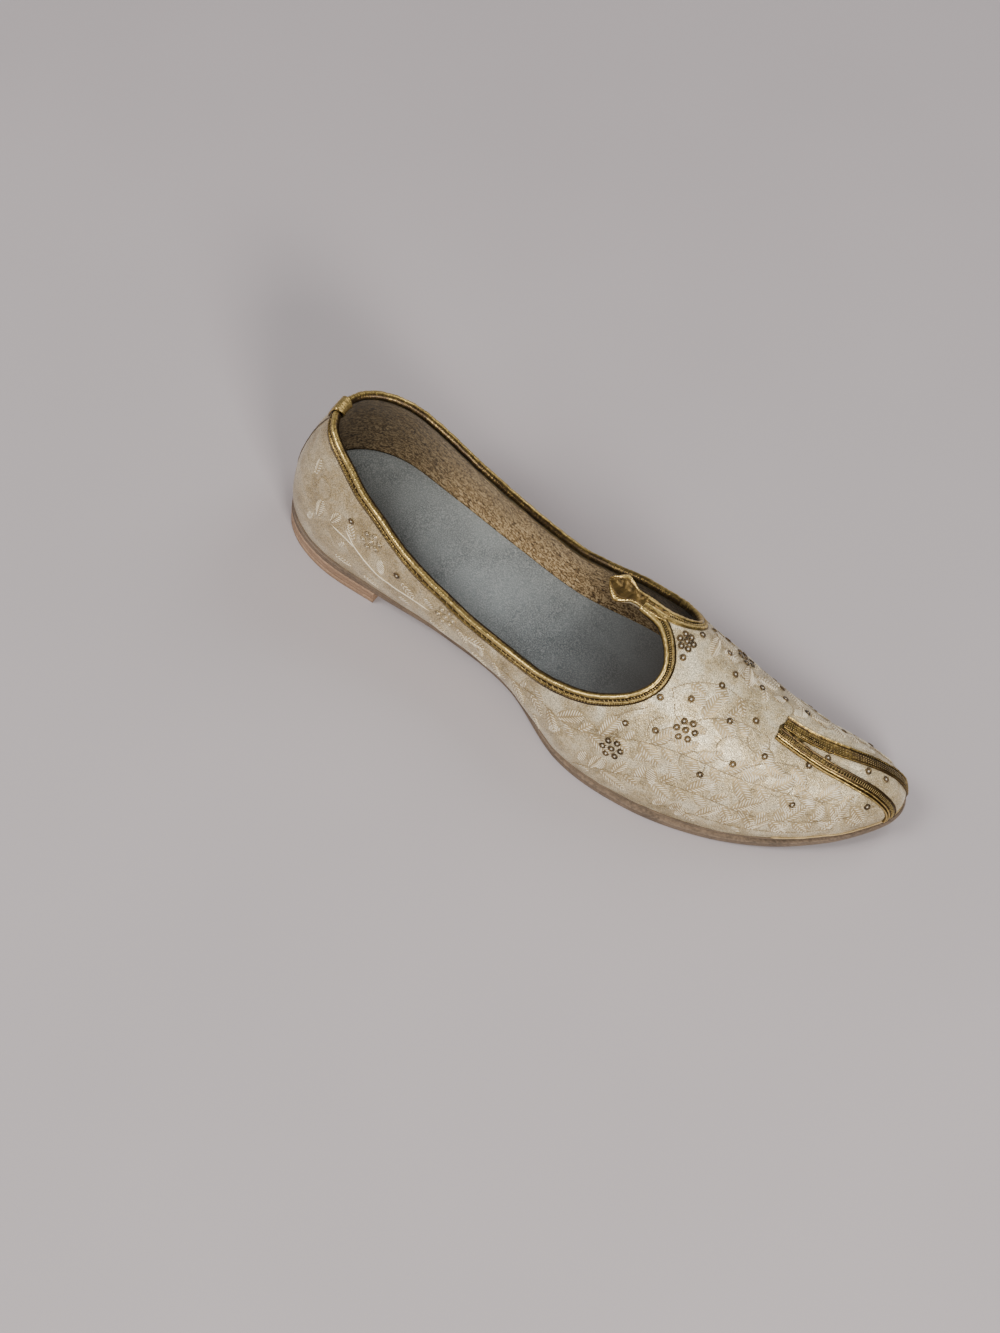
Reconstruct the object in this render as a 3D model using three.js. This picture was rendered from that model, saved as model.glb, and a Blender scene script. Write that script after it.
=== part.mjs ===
// Mojari shoe, right foot: slip-on with a pointed toe, a bound collar and a pointed throat tongue.
// Millimetres. +X toe-ward, +Y to the inner (medial) side of the right foot, +Z up.
// The origin is the centre of the bounding box in plan, on the floor.

import * as THREE from 'three';

const { clamp, degToRad, lerp, radToDeg, smoothstep } = THREE.MathUtils;

// ---------------------------------------------------------------------------
// The last: one surface that every piece of the shoe is taken from.
// ---------------------------------------------------------------------------

const LENGTH = 294.5; // feather line, heel to toe
const WALL = 2.0; // upper, lining and stiffener together
const GAP = 0.3; // clearance between stacked pieces

// Cross-sections along the feather line (where the upper meets the sole).
//   x        distance from the heel
//   lateral  outline on the outer side, medial outline on the inner side
//   feather  height of the feather line above the floor
//   belly    how far the side wall swells over the feather line
//   margin   how far the outsole stands out past the upper
const SECTION_COLUMNS = ['x', 'lateral', 'medial', 'feather', 'belly', 'margin'];
const SECTIONS = [
  [0, 0, 0, 12.3, 2.2, 1.5],
  [8, 20.5, 21, 12.3, 2.2, 1.5],
  [30, 30, 31, 12.2, 2.4, 1.4],
  [60, 30.5, 29.5, 11.8, 4.3, 0.9],
  [95, 29.6, 26.5, 10.6, 6.1, 0.2],
  [130, 32, 25.5, 7.8, 5.8, 0.4],
  [165, 44, 31.5, 4.4, 3.5, 2.0],
  [200, 43.2, 31.5, 3.8, 1.6, 3.2],
  [230, 35.5, 31, 3.8, 1.2, 3.2],
  [254, 24, 32.5, 4.7, 1.2, 3.0],
  [274, 9.5, 34, 6.9, 1.2, 2.5],
  [288, -5.5, 31, 9.2, 1.0, 2.0],
  [LENGTH, -20, 20, 10.8, 0.8, 2.0],
];

// Ridge of the last, from over the heel to the nose.
const RIDGE_COLUMNS = ['x', 'y', 'z'];
const RIDGE = [
  [43, 0, 96],
  [82, 0, 92],
  [120, 1, 84],
  [155, 2, 76],
  [190, 2.5, 65],
  [220, 1.2, 52.5],
  [248, 4.3, 41],
  [273, 12, 32.5],
];

// Collar edge of one side, from the back seam to the tip of the tongue.
//   x      station along the feather line
//   climb  angle up the section, 0 at the feather line and 90 on the ridge
const COLLAR_COLUMNS = ['x', 'climb'];
const COLLAR = [
  [0, 49.5],
  [15, 48],
  [40, 39.8],
  [75, 28.4],
  [110, 23.8],
  [136, 26.2],
  [161, 38.3],
  [177, 50],
  [184, 60.5],
  [184, 70.5],
  [178.5, 78.5],
  [170, 84],
  [160, 85.2],
  [152, 85.6],
  [146, 82.5],
  [141, 85],
  [137.5, 90],
];

const BELLY_PEAK = degToRad(17); // climb at which the belly is widest
const DROOP = 6.5; // how far the free end of the tongue bends down
const DROOP_REACH = [138, 178]; // x range over which it bends
const DROOP_CLIMB = [degToRad(66), degToRad(86)];

const FULL_TURN = 2 * Math.PI;
const SLOPE_STEP = 1e-3; // step in turn and climb for the slope of the surface
const ROW_STEP = 0.02; // step in table rows for the direction of a line

function column(rows, names, name) {
  const index = names.indexOf(name);
  return rows.map((row) => row[index]);
}

// Evenly spaced values, both ends included.
const spread = (from, to, count) => Array.from({ length: count + 1 }, (_, i) => lerp(from, to, i / count));

// Smooth curve through the values at the knots (cubic Hermite, local slopes).
function smooth(knots, values, at) {
  const last = knots.length - 1;
  let i = 0;
  while (i < last - 1 && at >= knots[i + 1]) i += 1;
  const slope = (k) => {
    const rise = (a, b) => (values[b] - values[a]) / (knots[b] - knots[a]);
    if (k === 0) return rise(0, 1);
    if (k === last) return rise(last - 1, last);
    const before = knots[k] - knots[k - 1];
    const after = knots[k + 1] - knots[k];
    return (rise(k - 1, k) * after + rise(k, k + 1) * before) / (before + after);
  };
  const width = knots[i + 1] - knots[i];
  const s = (at - knots[i]) / width;
  const s2 = s * s;
  const s3 = s2 * s;
  return (
    values[i] * (2 * s3 - 3 * s2 + 1) +
    width * slope(i) * (s3 - 2 * s2 + s) +
    values[i + 1] * (3 * s2 - 2 * s3) +
    width * slope(i + 1) * (s3 - s2)
  );
}

// The outline is walked by "turn": 0 at the heel, up to PI at the toe along
// the outer side, and down to -PI at the toe along the inner side.
const turnOf = (x) => Math.acos(clamp(1 - (2 * x) / LENGTH, -1, 1));
const stationOf = (turn) => (LENGTH * (1 - Math.cos(turn))) / 2;
const wrap = (turn) => ((turn % FULL_TURN) + FULL_TURN) % FULL_TURN;
const fold = (turn) => Math.abs(((wrap(turn) + Math.PI) % FULL_TURN) - Math.PI);

// The outline as one lap, outer side then inner side, with one row past each end.
const SECTION_TURNS = column(SECTIONS, SECTION_COLUMNS, 'x').map(turnOf);
const OUTER_SIDE = column(SECTIONS, SECTION_COLUMNS, 'lateral').map((y, i) => [SECTION_TURNS[i], -y]);
const INNER_SIDE = column(SECTIONS, SECTION_COLUMNS, 'medial').map((y, i) => [-SECTION_TURNS[i], y]);
const LAP = [...OUTER_SIDE, ...INNER_SIDE.slice(0, -1).reverse().map(([turn, y]) => [FULL_TURN + turn, y])];
const OUTLINE_COLUMNS = ['turn', 'y'];
const OUTLINE = [
  [LAP.at(-2)[0] - FULL_TURN, LAP.at(-2)[1]],
  ...LAP,
  [LAP[1][0] + FULL_TURN, LAP[1][1]],
];
const OUTLINE_TURNS = column(OUTLINE, OUTLINE_COLUMNS, 'turn');
const OUTLINE_Y = column(OUTLINE, OUTLINE_COLUMNS, 'y');

const sectionValue = (name, turn) =>
  smooth(SECTION_TURNS, column(SECTIONS, SECTION_COLUMNS, name), fold(turn));

// Point on the feather line, moved outward in plan by "grow".
function featherPoint(turn, grow = 0) {
  const y = (t) => smooth(OUTLINE_TURNS, OUTLINE_Y, wrap(t));
  const dx = stationOf(turn + SLOPE_STEP) - stationOf(turn - SLOPE_STEP);
  const dy = y(turn + SLOPE_STEP) - y(turn - SLOPE_STEP);
  const length = Math.hypot(dx, dy);
  return new THREE.Vector3(
    stationOf(turn) + (grow * dy) / length,
    y(turn) - (grow * dx) / length,
    sectionValue('feather', turn),
  );
}

// Point on the ridge that belongs to the section at this turn.
function ridgePoint(turn) {
  const knots = column(RIDGE, RIDGE_COLUMNS, 'x');
  const first = knots[0];
  const last = knots.at(-1);
  const x = first + ((last - first) * stationOf(turn)) / LENGTH;
  return new THREE.Vector3(
    x,
    smooth(knots, column(RIDGE, RIDGE_COLUMNS, 'y'), x),
    smooth(knots, column(RIDGE, RIDGE_COLUMNS, 'z'), x),
  );
}

// The outer surface of the upper.
function surface(turn, climb) {
  const foot = featherPoint(turn);
  const ridge = ridgePoint(turn);
  const out = new THREE.Vector2(foot.x - ridge.x, foot.y - ridge.y);
  const reach = out.length();
  const rise = climb / BELLY_PEAK;
  const belly = sectionValue('belly', turn) * rise * Math.exp(1 - rise);
  const scale = Math.cos(climb) * (1 + belly / reach);
  const x = ridge.x + out.x * scale;
  const bend = DROOP * (1 - smoothstep(x, ...DROOP_REACH)) * smoothstep(climb, ...DROOP_CLIMB);
  return new THREE.Vector3(
    x,
    ridge.y + out.y * scale,
    foot.z + (ridge.z - foot.z) * Math.sin(climb) - bend,
  );
}

// Point, unit normal (outward) and the two surface directions at a place.
function frameAt(turn, climb) {
  const slope = (ahead, behind) => ahead.sub(behind).divideScalar(2 * SLOPE_STEP);
  const along = slope(surface(turn + SLOPE_STEP, climb), surface(turn - SLOPE_STEP, climb));
  const up = slope(surface(turn, climb + SLOPE_STEP), surface(turn, climb - SLOPE_STEP));
  const normal = new THREE.Vector3().crossVectors(along, up).normalize();
  return { point: surface(turn, climb), normal, along, up };
}

// Place reached by walking "distance" over the surface towards a tangent direction.
function walk([turn, climb], direction, distance) {
  const { along, up } = frameAt(turn, climb);
  const aa = along.dot(along);
  const au = along.dot(up);
  const uu = up.dot(up);
  const pa = direction.dot(along) * distance;
  const pu = direction.dot(up) * distance;
  const det = aa * uu - au * au;
  return [turn + (pa * uu - pu * au) / det, climb + (pu * aa - pa * au) / det];
}

// Point off the surface: "height" along the normal at a place.
function lifted([turn, climb], height) {
  const { point, normal } = frameAt(turn, climb);
  return point.addScaledVector(normal, height);
}

// Place on the collar edge. "edge" counts the rows of COLLAR from the back
// seam: upwards on the outer (lateral) side, downwards on the inner (medial) side.
const COLLAR_TURNS = column(COLLAR, COLLAR_COLUMNS, 'x').map(turnOf);
const COLLAR_CLIMBS = column(COLLAR, COLLAR_COLUMNS, 'climb').map(degToRad);
const COLLAR_ROWS = [...COLLAR.keys()];

function collarPlace(edge) {
  const row = Math.abs(edge);
  const turn = smooth(COLLAR_ROWS, COLLAR_TURNS, row);
  return [edge < 0 ? -turn : turn, smooth(COLLAR_ROWS, COLLAR_CLIMBS, row)];
}

// ---------------------------------------------------------------------------
// Closed shells.
// ---------------------------------------------------------------------------

class Shell {
  constructor() {
    this.points = [];
    this.lookup = new Map();
    this.faces = [];
  }

  // Index of a point, shared with any point already in the same place.
  at(point) {
    const key = [point.x, point.y, point.z].map((v) => Math.round(v * 1e3)).join(' ');
    if (!this.lookup.has(key)) {
      this.lookup.set(key, this.points.length);
      this.points.push(point.clone());
    }
    return this.lookup.get(key);
  }

  face(a, b, c) {
    if (a !== b && b !== c && c !== a) this.faces.push([a, b, c]);
  }

  quad(a, b, c, d) {
    const near = this.points[a].distanceTo(this.points[c]) <= this.points[b].distanceTo(this.points[d]);
    if (near) {
      this.face(a, b, c);
      this.face(a, c, d);
    } else {
      this.face(a, b, d);
      this.face(b, c, d);
    }
  }

  // Skins a grid of points given row by row.
  grid(rows) {
    const ids = rows.map((row) => row.map((point) => this.at(point)));
    for (let i = 0; i + 1 < ids.length; i += 1) {
      for (let j = 0; j + 1 < ids[i].length; j += 1) {
        this.quad(ids[i][j], ids[i][j + 1], ids[i + 1][j + 1], ids[i + 1][j]);
      }
    }
    return ids;
  }

  volume() {
    const [a, b, c] = [new THREE.Vector3(), new THREE.Vector3(), new THREE.Vector3()];
    return this.faces.reduce((sum, [i, j, k]) => {
      a.copy(this.points[i]);
      b.copy(this.points[j]);
      c.copy(this.points[k]);
      return sum + a.dot(b.cross(c)) / 6;
    }, 0);
  }

  mesh(name, finish) {
    const faces = this.volume() < 0 ? this.faces.map(([a, b, c]) => [a, c, b]) : this.faces;
    const geometry = new THREE.BufferGeometry();
    geometry.setAttribute(
      'position',
      new THREE.Float32BufferAttribute(this.points.flatMap((p) => [p.x, p.y, p.z]), 3),
    );
    geometry.setIndex(faces.flat());
    geometry.computeVertexNormals();
    const mesh = new THREE.Mesh(geometry, new THREE.MeshStandardMaterial(finish));
    mesh.name = name;
    return mesh;
  }
}

// Solid swept along stations, each a closed ring of points; open ends are capped.
function sweep(rings) {
  const shell = new Shell();
  shell.grid(rings.map((ring) => [...ring, ring[0]]));
  for (const ring of [rings[0], [...rings.at(-1)].reverse()]) {
    const ids = ring.map((point) => shell.at(point));
    // Strips across the ring: first with last, second with last but one.
    for (let i = 0, j = ids.length - 1; i + 1 < j; i += 1, j -= 1) {
      shell.face(ids[i], ids[j], ids[i + 1]);
      if (j - 1 > i + 1) shell.face(ids[i + 1], ids[j], ids[j - 1]);
    }
  }
  return shell;
}

const FINISHES = {
  brocade: { color: 0xd9ccb0, roughness: 0.45, metalness: 0.1 },
  gold: { color: 0xb08a45, roughness: 0.3, metalness: 0.9 },
  leather: { color: 0x8a6a4c, roughness: 0.65, metalness: 0 },
  stack: { color: 0xc79a78, roughness: 0.6, metalness: 0 },
  suede: { color: 0x767f7e, roughness: 0.85, metalness: 0 },
};

// ---------------------------------------------------------------------------
// Upper: a hollow shell with a real wall, open at the collar and underneath.
// ---------------------------------------------------------------------------

// Ribs of the upper run from the collar edge to a base line that follows the
// feather line to the toe (0..180), climbs the nose (180..270) and returns
// along the ridge (270 and on) to the tip of the tongue.
//   edge    place on the collar, in rows of COLLAR
//   base    place on the base line, in degrees; null where the rib is a plain
//           section, with its base right under its edge
//   ribs    number of ribs since the row above
const TOE_BASE = 180;
const NOSE_BASE = 270;
const RIDGE_BASE = 450; // where the ridge would reach the heel
const FAN = [
  [0, null, 0],
  [1, null, 5],
  [2, null, 4],
  [5, null, 8],
  [6, 100, 4],
  [7, 117, 5],
  [8.2, 142, 7],
  [8.7, TOE_BASE, 7],
  [9.1, NOSE_BASE, 8],
  [10, 312, 5],
  [11, 337, 4],
  [12, 350, 4],
  [13, 355, 2],
  [14, 358.5, 2],
  [15, 361, 2],
  [16, RIDGE_BASE - radToDeg(COLLAR_TURNS.at(-1)), 2],
];
const RIB_ROWS = 10;

const baseUnder = (edge) => radToDeg(collarPlace(edge)[0]);

function ribs() {
  const list = [{ edge: 0, base: 0 }];
  for (let i = 1; i < FAN.length; i += 1) {
    const [edge0, base0] = FAN[i - 1];
    const [edge1, base1, count] = FAN[i];
    for (let n = 1; n <= count; n += 1) {
      const edge = lerp(edge0, edge1, n / count);
      const base = base1 === null ? baseUnder(edge) : lerp(base0 ?? baseUnder(edge0), base1, n / count);
      list.push({ edge, base });
    }
  }
  return list;
}

function basePlace(base) {
  if (base <= TOE_BASE) return [degToRad(base), 0];
  if (base <= NOSE_BASE) return [Math.PI, degToRad(base - TOE_BASE)];
  return [degToRad(RIDGE_BASE - base), Math.PI / 2];
}

// Points of one rib, from its base up to the collar; side is -1 for the inner side.
function ribPoints({ edge, base, side }) {
  const [turn0, climb0] = basePlace(base);
  const [turn1, climb1] = collarPlace(edge);
  return spread(0, 1, RIB_ROWS).map((s) => surface(side * lerp(turn0, turn1, s), lerp(climb0, climb1, s)));
}

// Outward direction at each point of a shell, level along the feather line.
function outwardAt(shell, onFeather) {
  const normals = shell.points.map(() => new THREE.Vector3());
  for (const corners of shell.faces) {
    const [a, b, c] = corners.map((i) => shell.points[i]);
    const facing = b.clone().sub(a).cross(c.clone().sub(a));
    for (const i of corners) normals[i].add(facing);
  }
  for (const i of onFeather) normals[i].z = 0;
  return normals.map((normal) => normal.normalize());
}

function makeUpper() {
  // Once round, from the heel along the inner side to the tongue and back along the outer side.
  const list = ribs();
  const round = [
    ...list.map((rib) => ({ ...rib, side: -1 })),
    ...list.map((rib) => ({ ...rib, side: 1 })).reverse(),
  ];
  const shell = new Shell();
  const outer = shell.grid(round.map(ribPoints));
  const onFeather = round.map(({ base }) => base <= TOE_BASE);

  const outward = outwardAt(shell, outer.filter((rib, i) => onFeather[i]).map((rib) => rib[0]));
  const skin = [...shell.faces];
  const within = shell.points.map((point, i) => point.clone().addScaledVector(outward[i], -WALL));
  const offset = within.map((point) => shell.at(point));
  const inner = outer.map((rib) => rib.map((i) => offset[i]));
  for (const [a, b, c] of skin) shell.face(offset[a], offset[c], offset[b]);

  // Rims: round the collar edge, and along the feather line.
  for (let i = 0; i + 1 < round.length; i += 1) {
    const next = i + 1;
    shell.quad(outer[next][RIB_ROWS], outer[i][RIB_ROWS], inner[i][RIB_ROWS], inner[next][RIB_ROWS]);
    if (onFeather[i] && onFeather[next]) {
      shell.quad(outer[i][0], outer[next][0], inner[next][0], inner[i][0]);
    }
  }
  return shell.mesh('upper', FINISHES.brocade);
}

// ---------------------------------------------------------------------------
// Bottom: outsole, heel lift and insole.
// ---------------------------------------------------------------------------

const SOLE_THICKNESS = 3.5;
const INSOLE_THICKNESS = 2.5;
const INSOLE_INSET = WALL + 0.45; // insole edge in from the feather line
const HEEL_BREAST = 58; // front of the heel lift
const SOLE_STATIONS = 56;
const LIFT_STATIONS = 16;
const INSOLE_STATIONS = 48;
const LANES = 2; // strips across a slab

// Solid between an upper and a lower sheet that share the outline of the foot.
function slab(turns, grow, top, bottom) {
  const shell = new Shell();
  const row = (turn, height) => {
    const outer = featherPoint(turn, grow(turn));
    const inner = featherPoint(-turn, grow(turn));
    return spread(0, 1, LANES).map((s) => outer.clone().lerp(inner, s).setZ(height(turn)));
  };
  const tops = turns.map((turn) => row(turn, top));
  const bottoms = turns.map((turn) => row(turn, bottom));
  shell.grid(tops);
  shell.grid(bottoms.map((line) => [...line].reverse()));
  shell.grid([tops.map((line) => line[0]), bottoms.map((line) => line[0])]);
  shell.grid([bottoms.map((line) => line[LANES]), tops.map((line) => line[LANES])]);
  shell.grid([bottoms[0], tops[0]]);
  shell.grid([tops.at(-1), bottoms.at(-1)]);
  return shell;
}

const margin = (turn) => sectionValue('margin', turn);
const soleTop = (turn) => sectionValue('feather', turn) - GAP;
const soleBottom = (turn) => Math.max(0, soleTop(turn) - SOLE_THICKNESS);

function makeOutsole() {
  const turns = spread(0, Math.PI, SOLE_STATIONS);
  return slab(turns, margin, soleTop, soleBottom).mesh('outsole', FINISHES.leather);
}

function makeHeelLift() {
  const turns = spread(0, turnOf(HEEL_BREAST), LIFT_STATIONS);
  const top = (turn) => soleBottom(turn) - GAP;
  return slab(turns, margin, top, () => 0).mesh('heel_lift', FINISHES.stack);
}

function makeInsole() {
  const turns = spread(0, Math.PI, INSOLE_STATIONS);
  const bottom = (turn) => soleTop(turn) + GAP;
  const top = (turn) => bottom(turn) + INSOLE_THICKNESS;
  return slab(turns, () => -INSOLE_INSET, top, bottom).mesh('insole', FINISHES.suede);
}

// ---------------------------------------------------------------------------
// Gold trim.
// ---------------------------------------------------------------------------

// Folded strips: length of the legs, thickness, clearance to the wall, and the
// rows of COLLAR at which they end.
const BINDING = { outside: 4.6, inside: 4, thickness: 0.9, gap: 0.45, end: 11.75 };
const HEEL_TAB = { outside: 7, inside: 5.5, thickness: 0.8, gap: 1.9, halfWidth: 4 };
const BEND = 0.3; // how far the bends of a folded strip lie past the edge
const STRAIGHT = 0.5; // nearer to the edge than this, a section is laid off in straight lines
const THROAT_ROW = 9; // from this collar row on, the legs stop short of the ridge
const RIDGE_CLEARANCE = { outside: 0.5, inside: 0.7 };

// U-shaped section folded over the collar edge.
function foldedRing(edge, { outside, inside, thickness, gap }) {
  const place = collarPlace(edge);
  const { point, normal } = frameAt(...place);
  const travel = surface(...collarPlace(edge + ROW_STEP)).sub(surface(...collarPlace(edge - ROW_STEP)));
  const into = new THREE.Vector3().crossVectors(travel, normal).normalize();
  const room = Math.abs(edge) > THROAT_ROW ? point.distanceTo(ridgePoint(place[0])) : Infinity;
  const far = Math.min(outside, room - RIDGE_CLEARANCE.outside);
  const near = Math.min(inside, room - RIDGE_CLEARANCE.inside);
  const path = (height, bend) => [
    [far, height],
    [bend, height],
    [-height, 0],
    [-height, -WALL],
    [bend, -WALL - height],
    [near, -WALL - height],
  ];
  const section = [...path(gap + thickness, BEND), ...path(gap, 0).reverse()];
  return section.map(([distance, height]) => {
    if (distance > STRAIGHT) return lifted(walk(place, into, distance), height);
    return point.clone().addScaledVector(into, distance).addScaledVector(normal, height);
  });
}

// Folded strip over both sides of the collar, up to the last of the edges.
function foldedTrim(edges, spec) {
  const both = [...edges.slice(1).reverse().map((edge) => -edge), ...edges];
  return sweep(both.map((edge) => foldedRing(edge, spec)));
}

function makeBinding() {
  const edges = ribs().map(({ edge }) => edge).filter((edge) => edge < BINDING.end);
  return foldedTrim([...edges, BINDING.end], BINDING).mesh('collar_binding', FINISHES.gold);
}

function makeHeelTab() {
  const rowLength = surface(...collarPlace(1)).distanceTo(surface(...collarPlace(0)));
  const edges = spread(0, HEEL_TAB.halfWidth / rowLength, 2);
  return foldedTrim(edges, HEEL_TAB).mesh('heel_tab', FINISHES.gold);
}

// Arrowhead that covers the end of the tongue: half width at ridge stations.
const ARROW_COLUMNS = ['x', 'half'];
const ARROW = [
  [168.4, 3.4],
  [163, 3.2],
  [160.5, 3.6],
  [158.6, 5.6],
  [157, 7.0],
  [155.5, 7.3],
  [153, 5.6],
  [150, 2.9],
  [147.6, 0.3],
];
const ARROW_GAP = 0.45;
const ARROW_THICKNESS = 1.1;

const ACROSS = 4; // strips across the arrowhead and a toe strip

// Place at a distance from the ridge, at a ridge station; positive is medial.
function besideRidge(x, distance) {
  const knots = column(RIDGE, RIDGE_COLUMNS, 'x');
  const station = ((x - knots[0]) / (knots.at(-1) - knots[0])) * LENGTH;
  const turn = distance > 0 ? -turnOf(station) : turnOf(station);
  const foot = featherPoint(turn);
  const ridge = ridgePoint(turn);
  const reach = Math.hypot(foot.x - ridge.x, foot.y - ridge.y);
  return [turn, Math.acos(Math.abs(distance) / reach)];
}

function makeArrow() {
  const rings = ARROW.map(([x, half]) => {
    const across = spread(-half, half, ACROSS).map((distance) => besideRidge(x, distance));
    return [
      ...across.map((place) => lifted(place, ARROW_GAP + ARROW_THICKNESS)),
      ...across.reverse().map((place) => lifted(place, ARROW_GAP)),
    ];
  });
  return sweep(rings).mesh('throat_tip', FINISHES.gold);
}

// Centre line of a toe strip, from the sole up over the nose to the ridge.
//   turn   degrees round the outline, climb degrees up the section
const STRIP_COLUMNS = ['turn', 'climb'];
const STRIP = [
  [170, 4],
  [170.5, 20],
  [169, 38],
  [165, 57],
  [157, 71],
  [146, 79.5],
  [139, 82.5],
  [132.5, 84],
];
const STRIP_TURNS = column(STRIP, STRIP_COLUMNS, 'turn').map(degToRad);
const STRIP_CLIMBS = column(STRIP, STRIP_COLUMNS, 'climb').map(degToRad);
const STRIP_ROWS = [...STRIP.keys()];
const STRIP_STATIONS = 16;
const STRIP_HALF = 2.7;
const STRIP_GAP = 0.35;
const STRIP_THICKNESS = 1.0;

// Toe strip on one side: 1 is the outer (lateral) side, -1 the inner (medial) side.
function makeStrip(name, side) {
  const place = (row) => [side * smooth(STRIP_ROWS, STRIP_TURNS, row), smooth(STRIP_ROWS, STRIP_CLIMBS, row)];
  const rings = spread(0, STRIP.length - 1, STRIP_STATIONS).map((row) => {
    const travel = surface(...place(row + ROW_STEP)).sub(surface(...place(row - ROW_STEP)));
    const { normal } = frameAt(...place(row));
    const across = new THREE.Vector3().crossVectors(normal, travel).normalize();
    const offsets = spread(-STRIP_HALF, STRIP_HALF, ACROSS);
    const spots = offsets.map((distance) => walk(place(row), across, distance));
    return [
      ...spots.map((spot) => lifted(spot, STRIP_GAP + STRIP_THICKNESS)),
      ...spots.reverse().map((spot) => lifted(spot, STRIP_GAP)),
    ];
  });
  return sweep(rings).mesh(name, FINISHES.gold);
}

// ---------------------------------------------------------------------------
// Assembly, moved so the origin is the bottom centre of the bounding box.
// ---------------------------------------------------------------------------

const group = new THREE.Group();
group.name = 'mojari_shoe_right';
group.add(
  makeUpper(),
  makeOutsole(),
  makeHeelLift(),
  makeInsole(),
  makeBinding(),
  makeHeelTab(),
  makeArrow(),
  makeStrip('toe_strip_lateral', 1),
  makeStrip('toe_strip_medial', -1),
);

const bounds = new THREE.Box3().setFromObject(group);
const centre = bounds.getCenter(new THREE.Vector3());
for (const mesh of group.children) mesh.geometry.translate(-centre.x, -centre.y, -bounds.min.z);

export default group;
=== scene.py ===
"""Mojari shoe for the right foot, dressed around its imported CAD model.

Metres, +X towards the toe, +Y to the inner side of the foot, +Z up.
The tables of the last are in millimetres, measured from the back of the heel.
"""

import logging
import math
from dataclasses import dataclass
from enum import Enum

import bpy
import numpy as np
from mathutils import Matrix, Vector


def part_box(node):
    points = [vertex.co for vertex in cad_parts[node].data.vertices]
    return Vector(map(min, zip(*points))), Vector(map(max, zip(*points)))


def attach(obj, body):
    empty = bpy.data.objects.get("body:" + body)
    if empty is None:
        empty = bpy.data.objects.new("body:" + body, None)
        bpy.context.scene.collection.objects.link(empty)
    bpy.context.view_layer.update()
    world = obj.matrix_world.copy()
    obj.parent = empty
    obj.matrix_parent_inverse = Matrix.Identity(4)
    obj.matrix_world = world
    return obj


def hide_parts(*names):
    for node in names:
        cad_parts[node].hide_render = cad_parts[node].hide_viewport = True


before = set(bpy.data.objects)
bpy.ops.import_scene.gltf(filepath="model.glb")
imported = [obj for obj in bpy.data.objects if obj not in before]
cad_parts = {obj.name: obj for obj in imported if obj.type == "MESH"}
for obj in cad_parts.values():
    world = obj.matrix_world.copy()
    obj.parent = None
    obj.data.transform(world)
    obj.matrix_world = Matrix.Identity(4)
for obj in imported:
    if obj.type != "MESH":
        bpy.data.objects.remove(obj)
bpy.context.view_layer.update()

MM = 0.001
ROOT = "root"
ROW_STEP = 0.02  # step in table rows for the direction of a line
TUBE_SIDES = 6
Array = np.ndarray
log = logging.getLogger("mojari")

# ---------------------------------------------------------------------------
# The last: one surface that every piece of the shoe is taken from.
# ---------------------------------------------------------------------------

# x from the heel, lateral and medial outline, feather height, belly, sole margin
SECTIONS = (
    (0, 0, 0, 12.3, 2.2, 1.5),
    (8, 20.5, 21, 12.3, 2.2, 1.5),
    (30, 30, 31, 12.2, 2.4, 1.4),
    (60, 30.5, 29.5, 11.8, 4.3, 0.9),
    (95, 29.6, 26.5, 10.6, 6.1, 0.2),
    (130, 32, 25.5, 7.8, 5.8, 0.4),
    (165, 44, 31.5, 4.4, 3.5, 2.0),
    (200, 43.2, 31.5, 3.8, 1.6, 3.2),
    (230, 35.5, 31, 3.8, 1.2, 3.2),
    (254, 24, 32.5, 4.7, 1.2, 3.0),
    (274, 9.5, 34, 6.9, 1.2, 2.5),
    (288, -5.5, 31, 9.2, 1.0, 2.0),
    (294.5, -20, 20, 10.8, 0.8, 2.0),
)

# x, y, z of the ridge from over the heel to the nose
RIDGE = (
    (43, 0, 96),
    (82, 0, 92),
    (120, 1, 84),
    (155, 2, 76),
    (190, 2.5, 65),
    (220, 1.2, 52.5),
    (248, 4.3, 41),
    (273, 12, 32.5),
)

# station on the feather line and climb in degrees, back seam to tongue tip
COLLAR = (
    (0, 49.5),
    (15, 48),
    (40, 39.8),
    (75, 28.4),
    (110, 23.8),
    (136, 26.2),
    (161, 38.3),
    (177, 50),
    (184, 60.5),
    (184, 70.5),
    (178.5, 78.5),
    (170, 84),
    (160, 85.2),
    (152, 85.6),
    (146, 82.5),
    (141, 85),
    (137.5, 90),
)

LAST_ROW = len(COLLAR) - 1

# centre line of a toe strip: turn and climb in degrees, sole to ridge
STRIP = (
    (170, 4),
    (170.5, 20),
    (169, 38),
    (165, 57),
    (157, 71),
    (146, 79.5),
    (139, 82.5),
    (132.5, 84),
)

# ridge station and half width of the tongue plate, its neck and its arrowhead
ARROW = (
    (176, 2.2),
    (172, 3.2),
    (168.4, 3.4),
    (163, 3.2),
    (160.5, 3.6),
    (158.6, 5.6),
    (157, 7.0),
    (155.5, 7.3),
    (153, 5.6),
    (150, 2.9),
    (147.6, 0.35),
)


class Side(Enum):
    """The two sides of the shoe, with the sign of their turn."""

    OUTER = 1
    INNER = -1


def radians(degrees: Array | float) -> Array:
    """Degrees to radians."""
    return np.radians(np.asarray(degrees, float))


def unit(vectors: Array) -> Array:
    """Vectors of length one."""
    return vectors / (np.linalg.norm(vectors, axis=-1, keepdims=True) + 1e-12)


def ease(start: float, end: float, value: Array) -> Array:
    """Smooth 0 to 1 step of a value between start and end, either way round."""
    s = np.clip((np.asarray(value, float) - start) / (end - start), 0, 1)
    return s * s * (3 - 2 * s)


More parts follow.
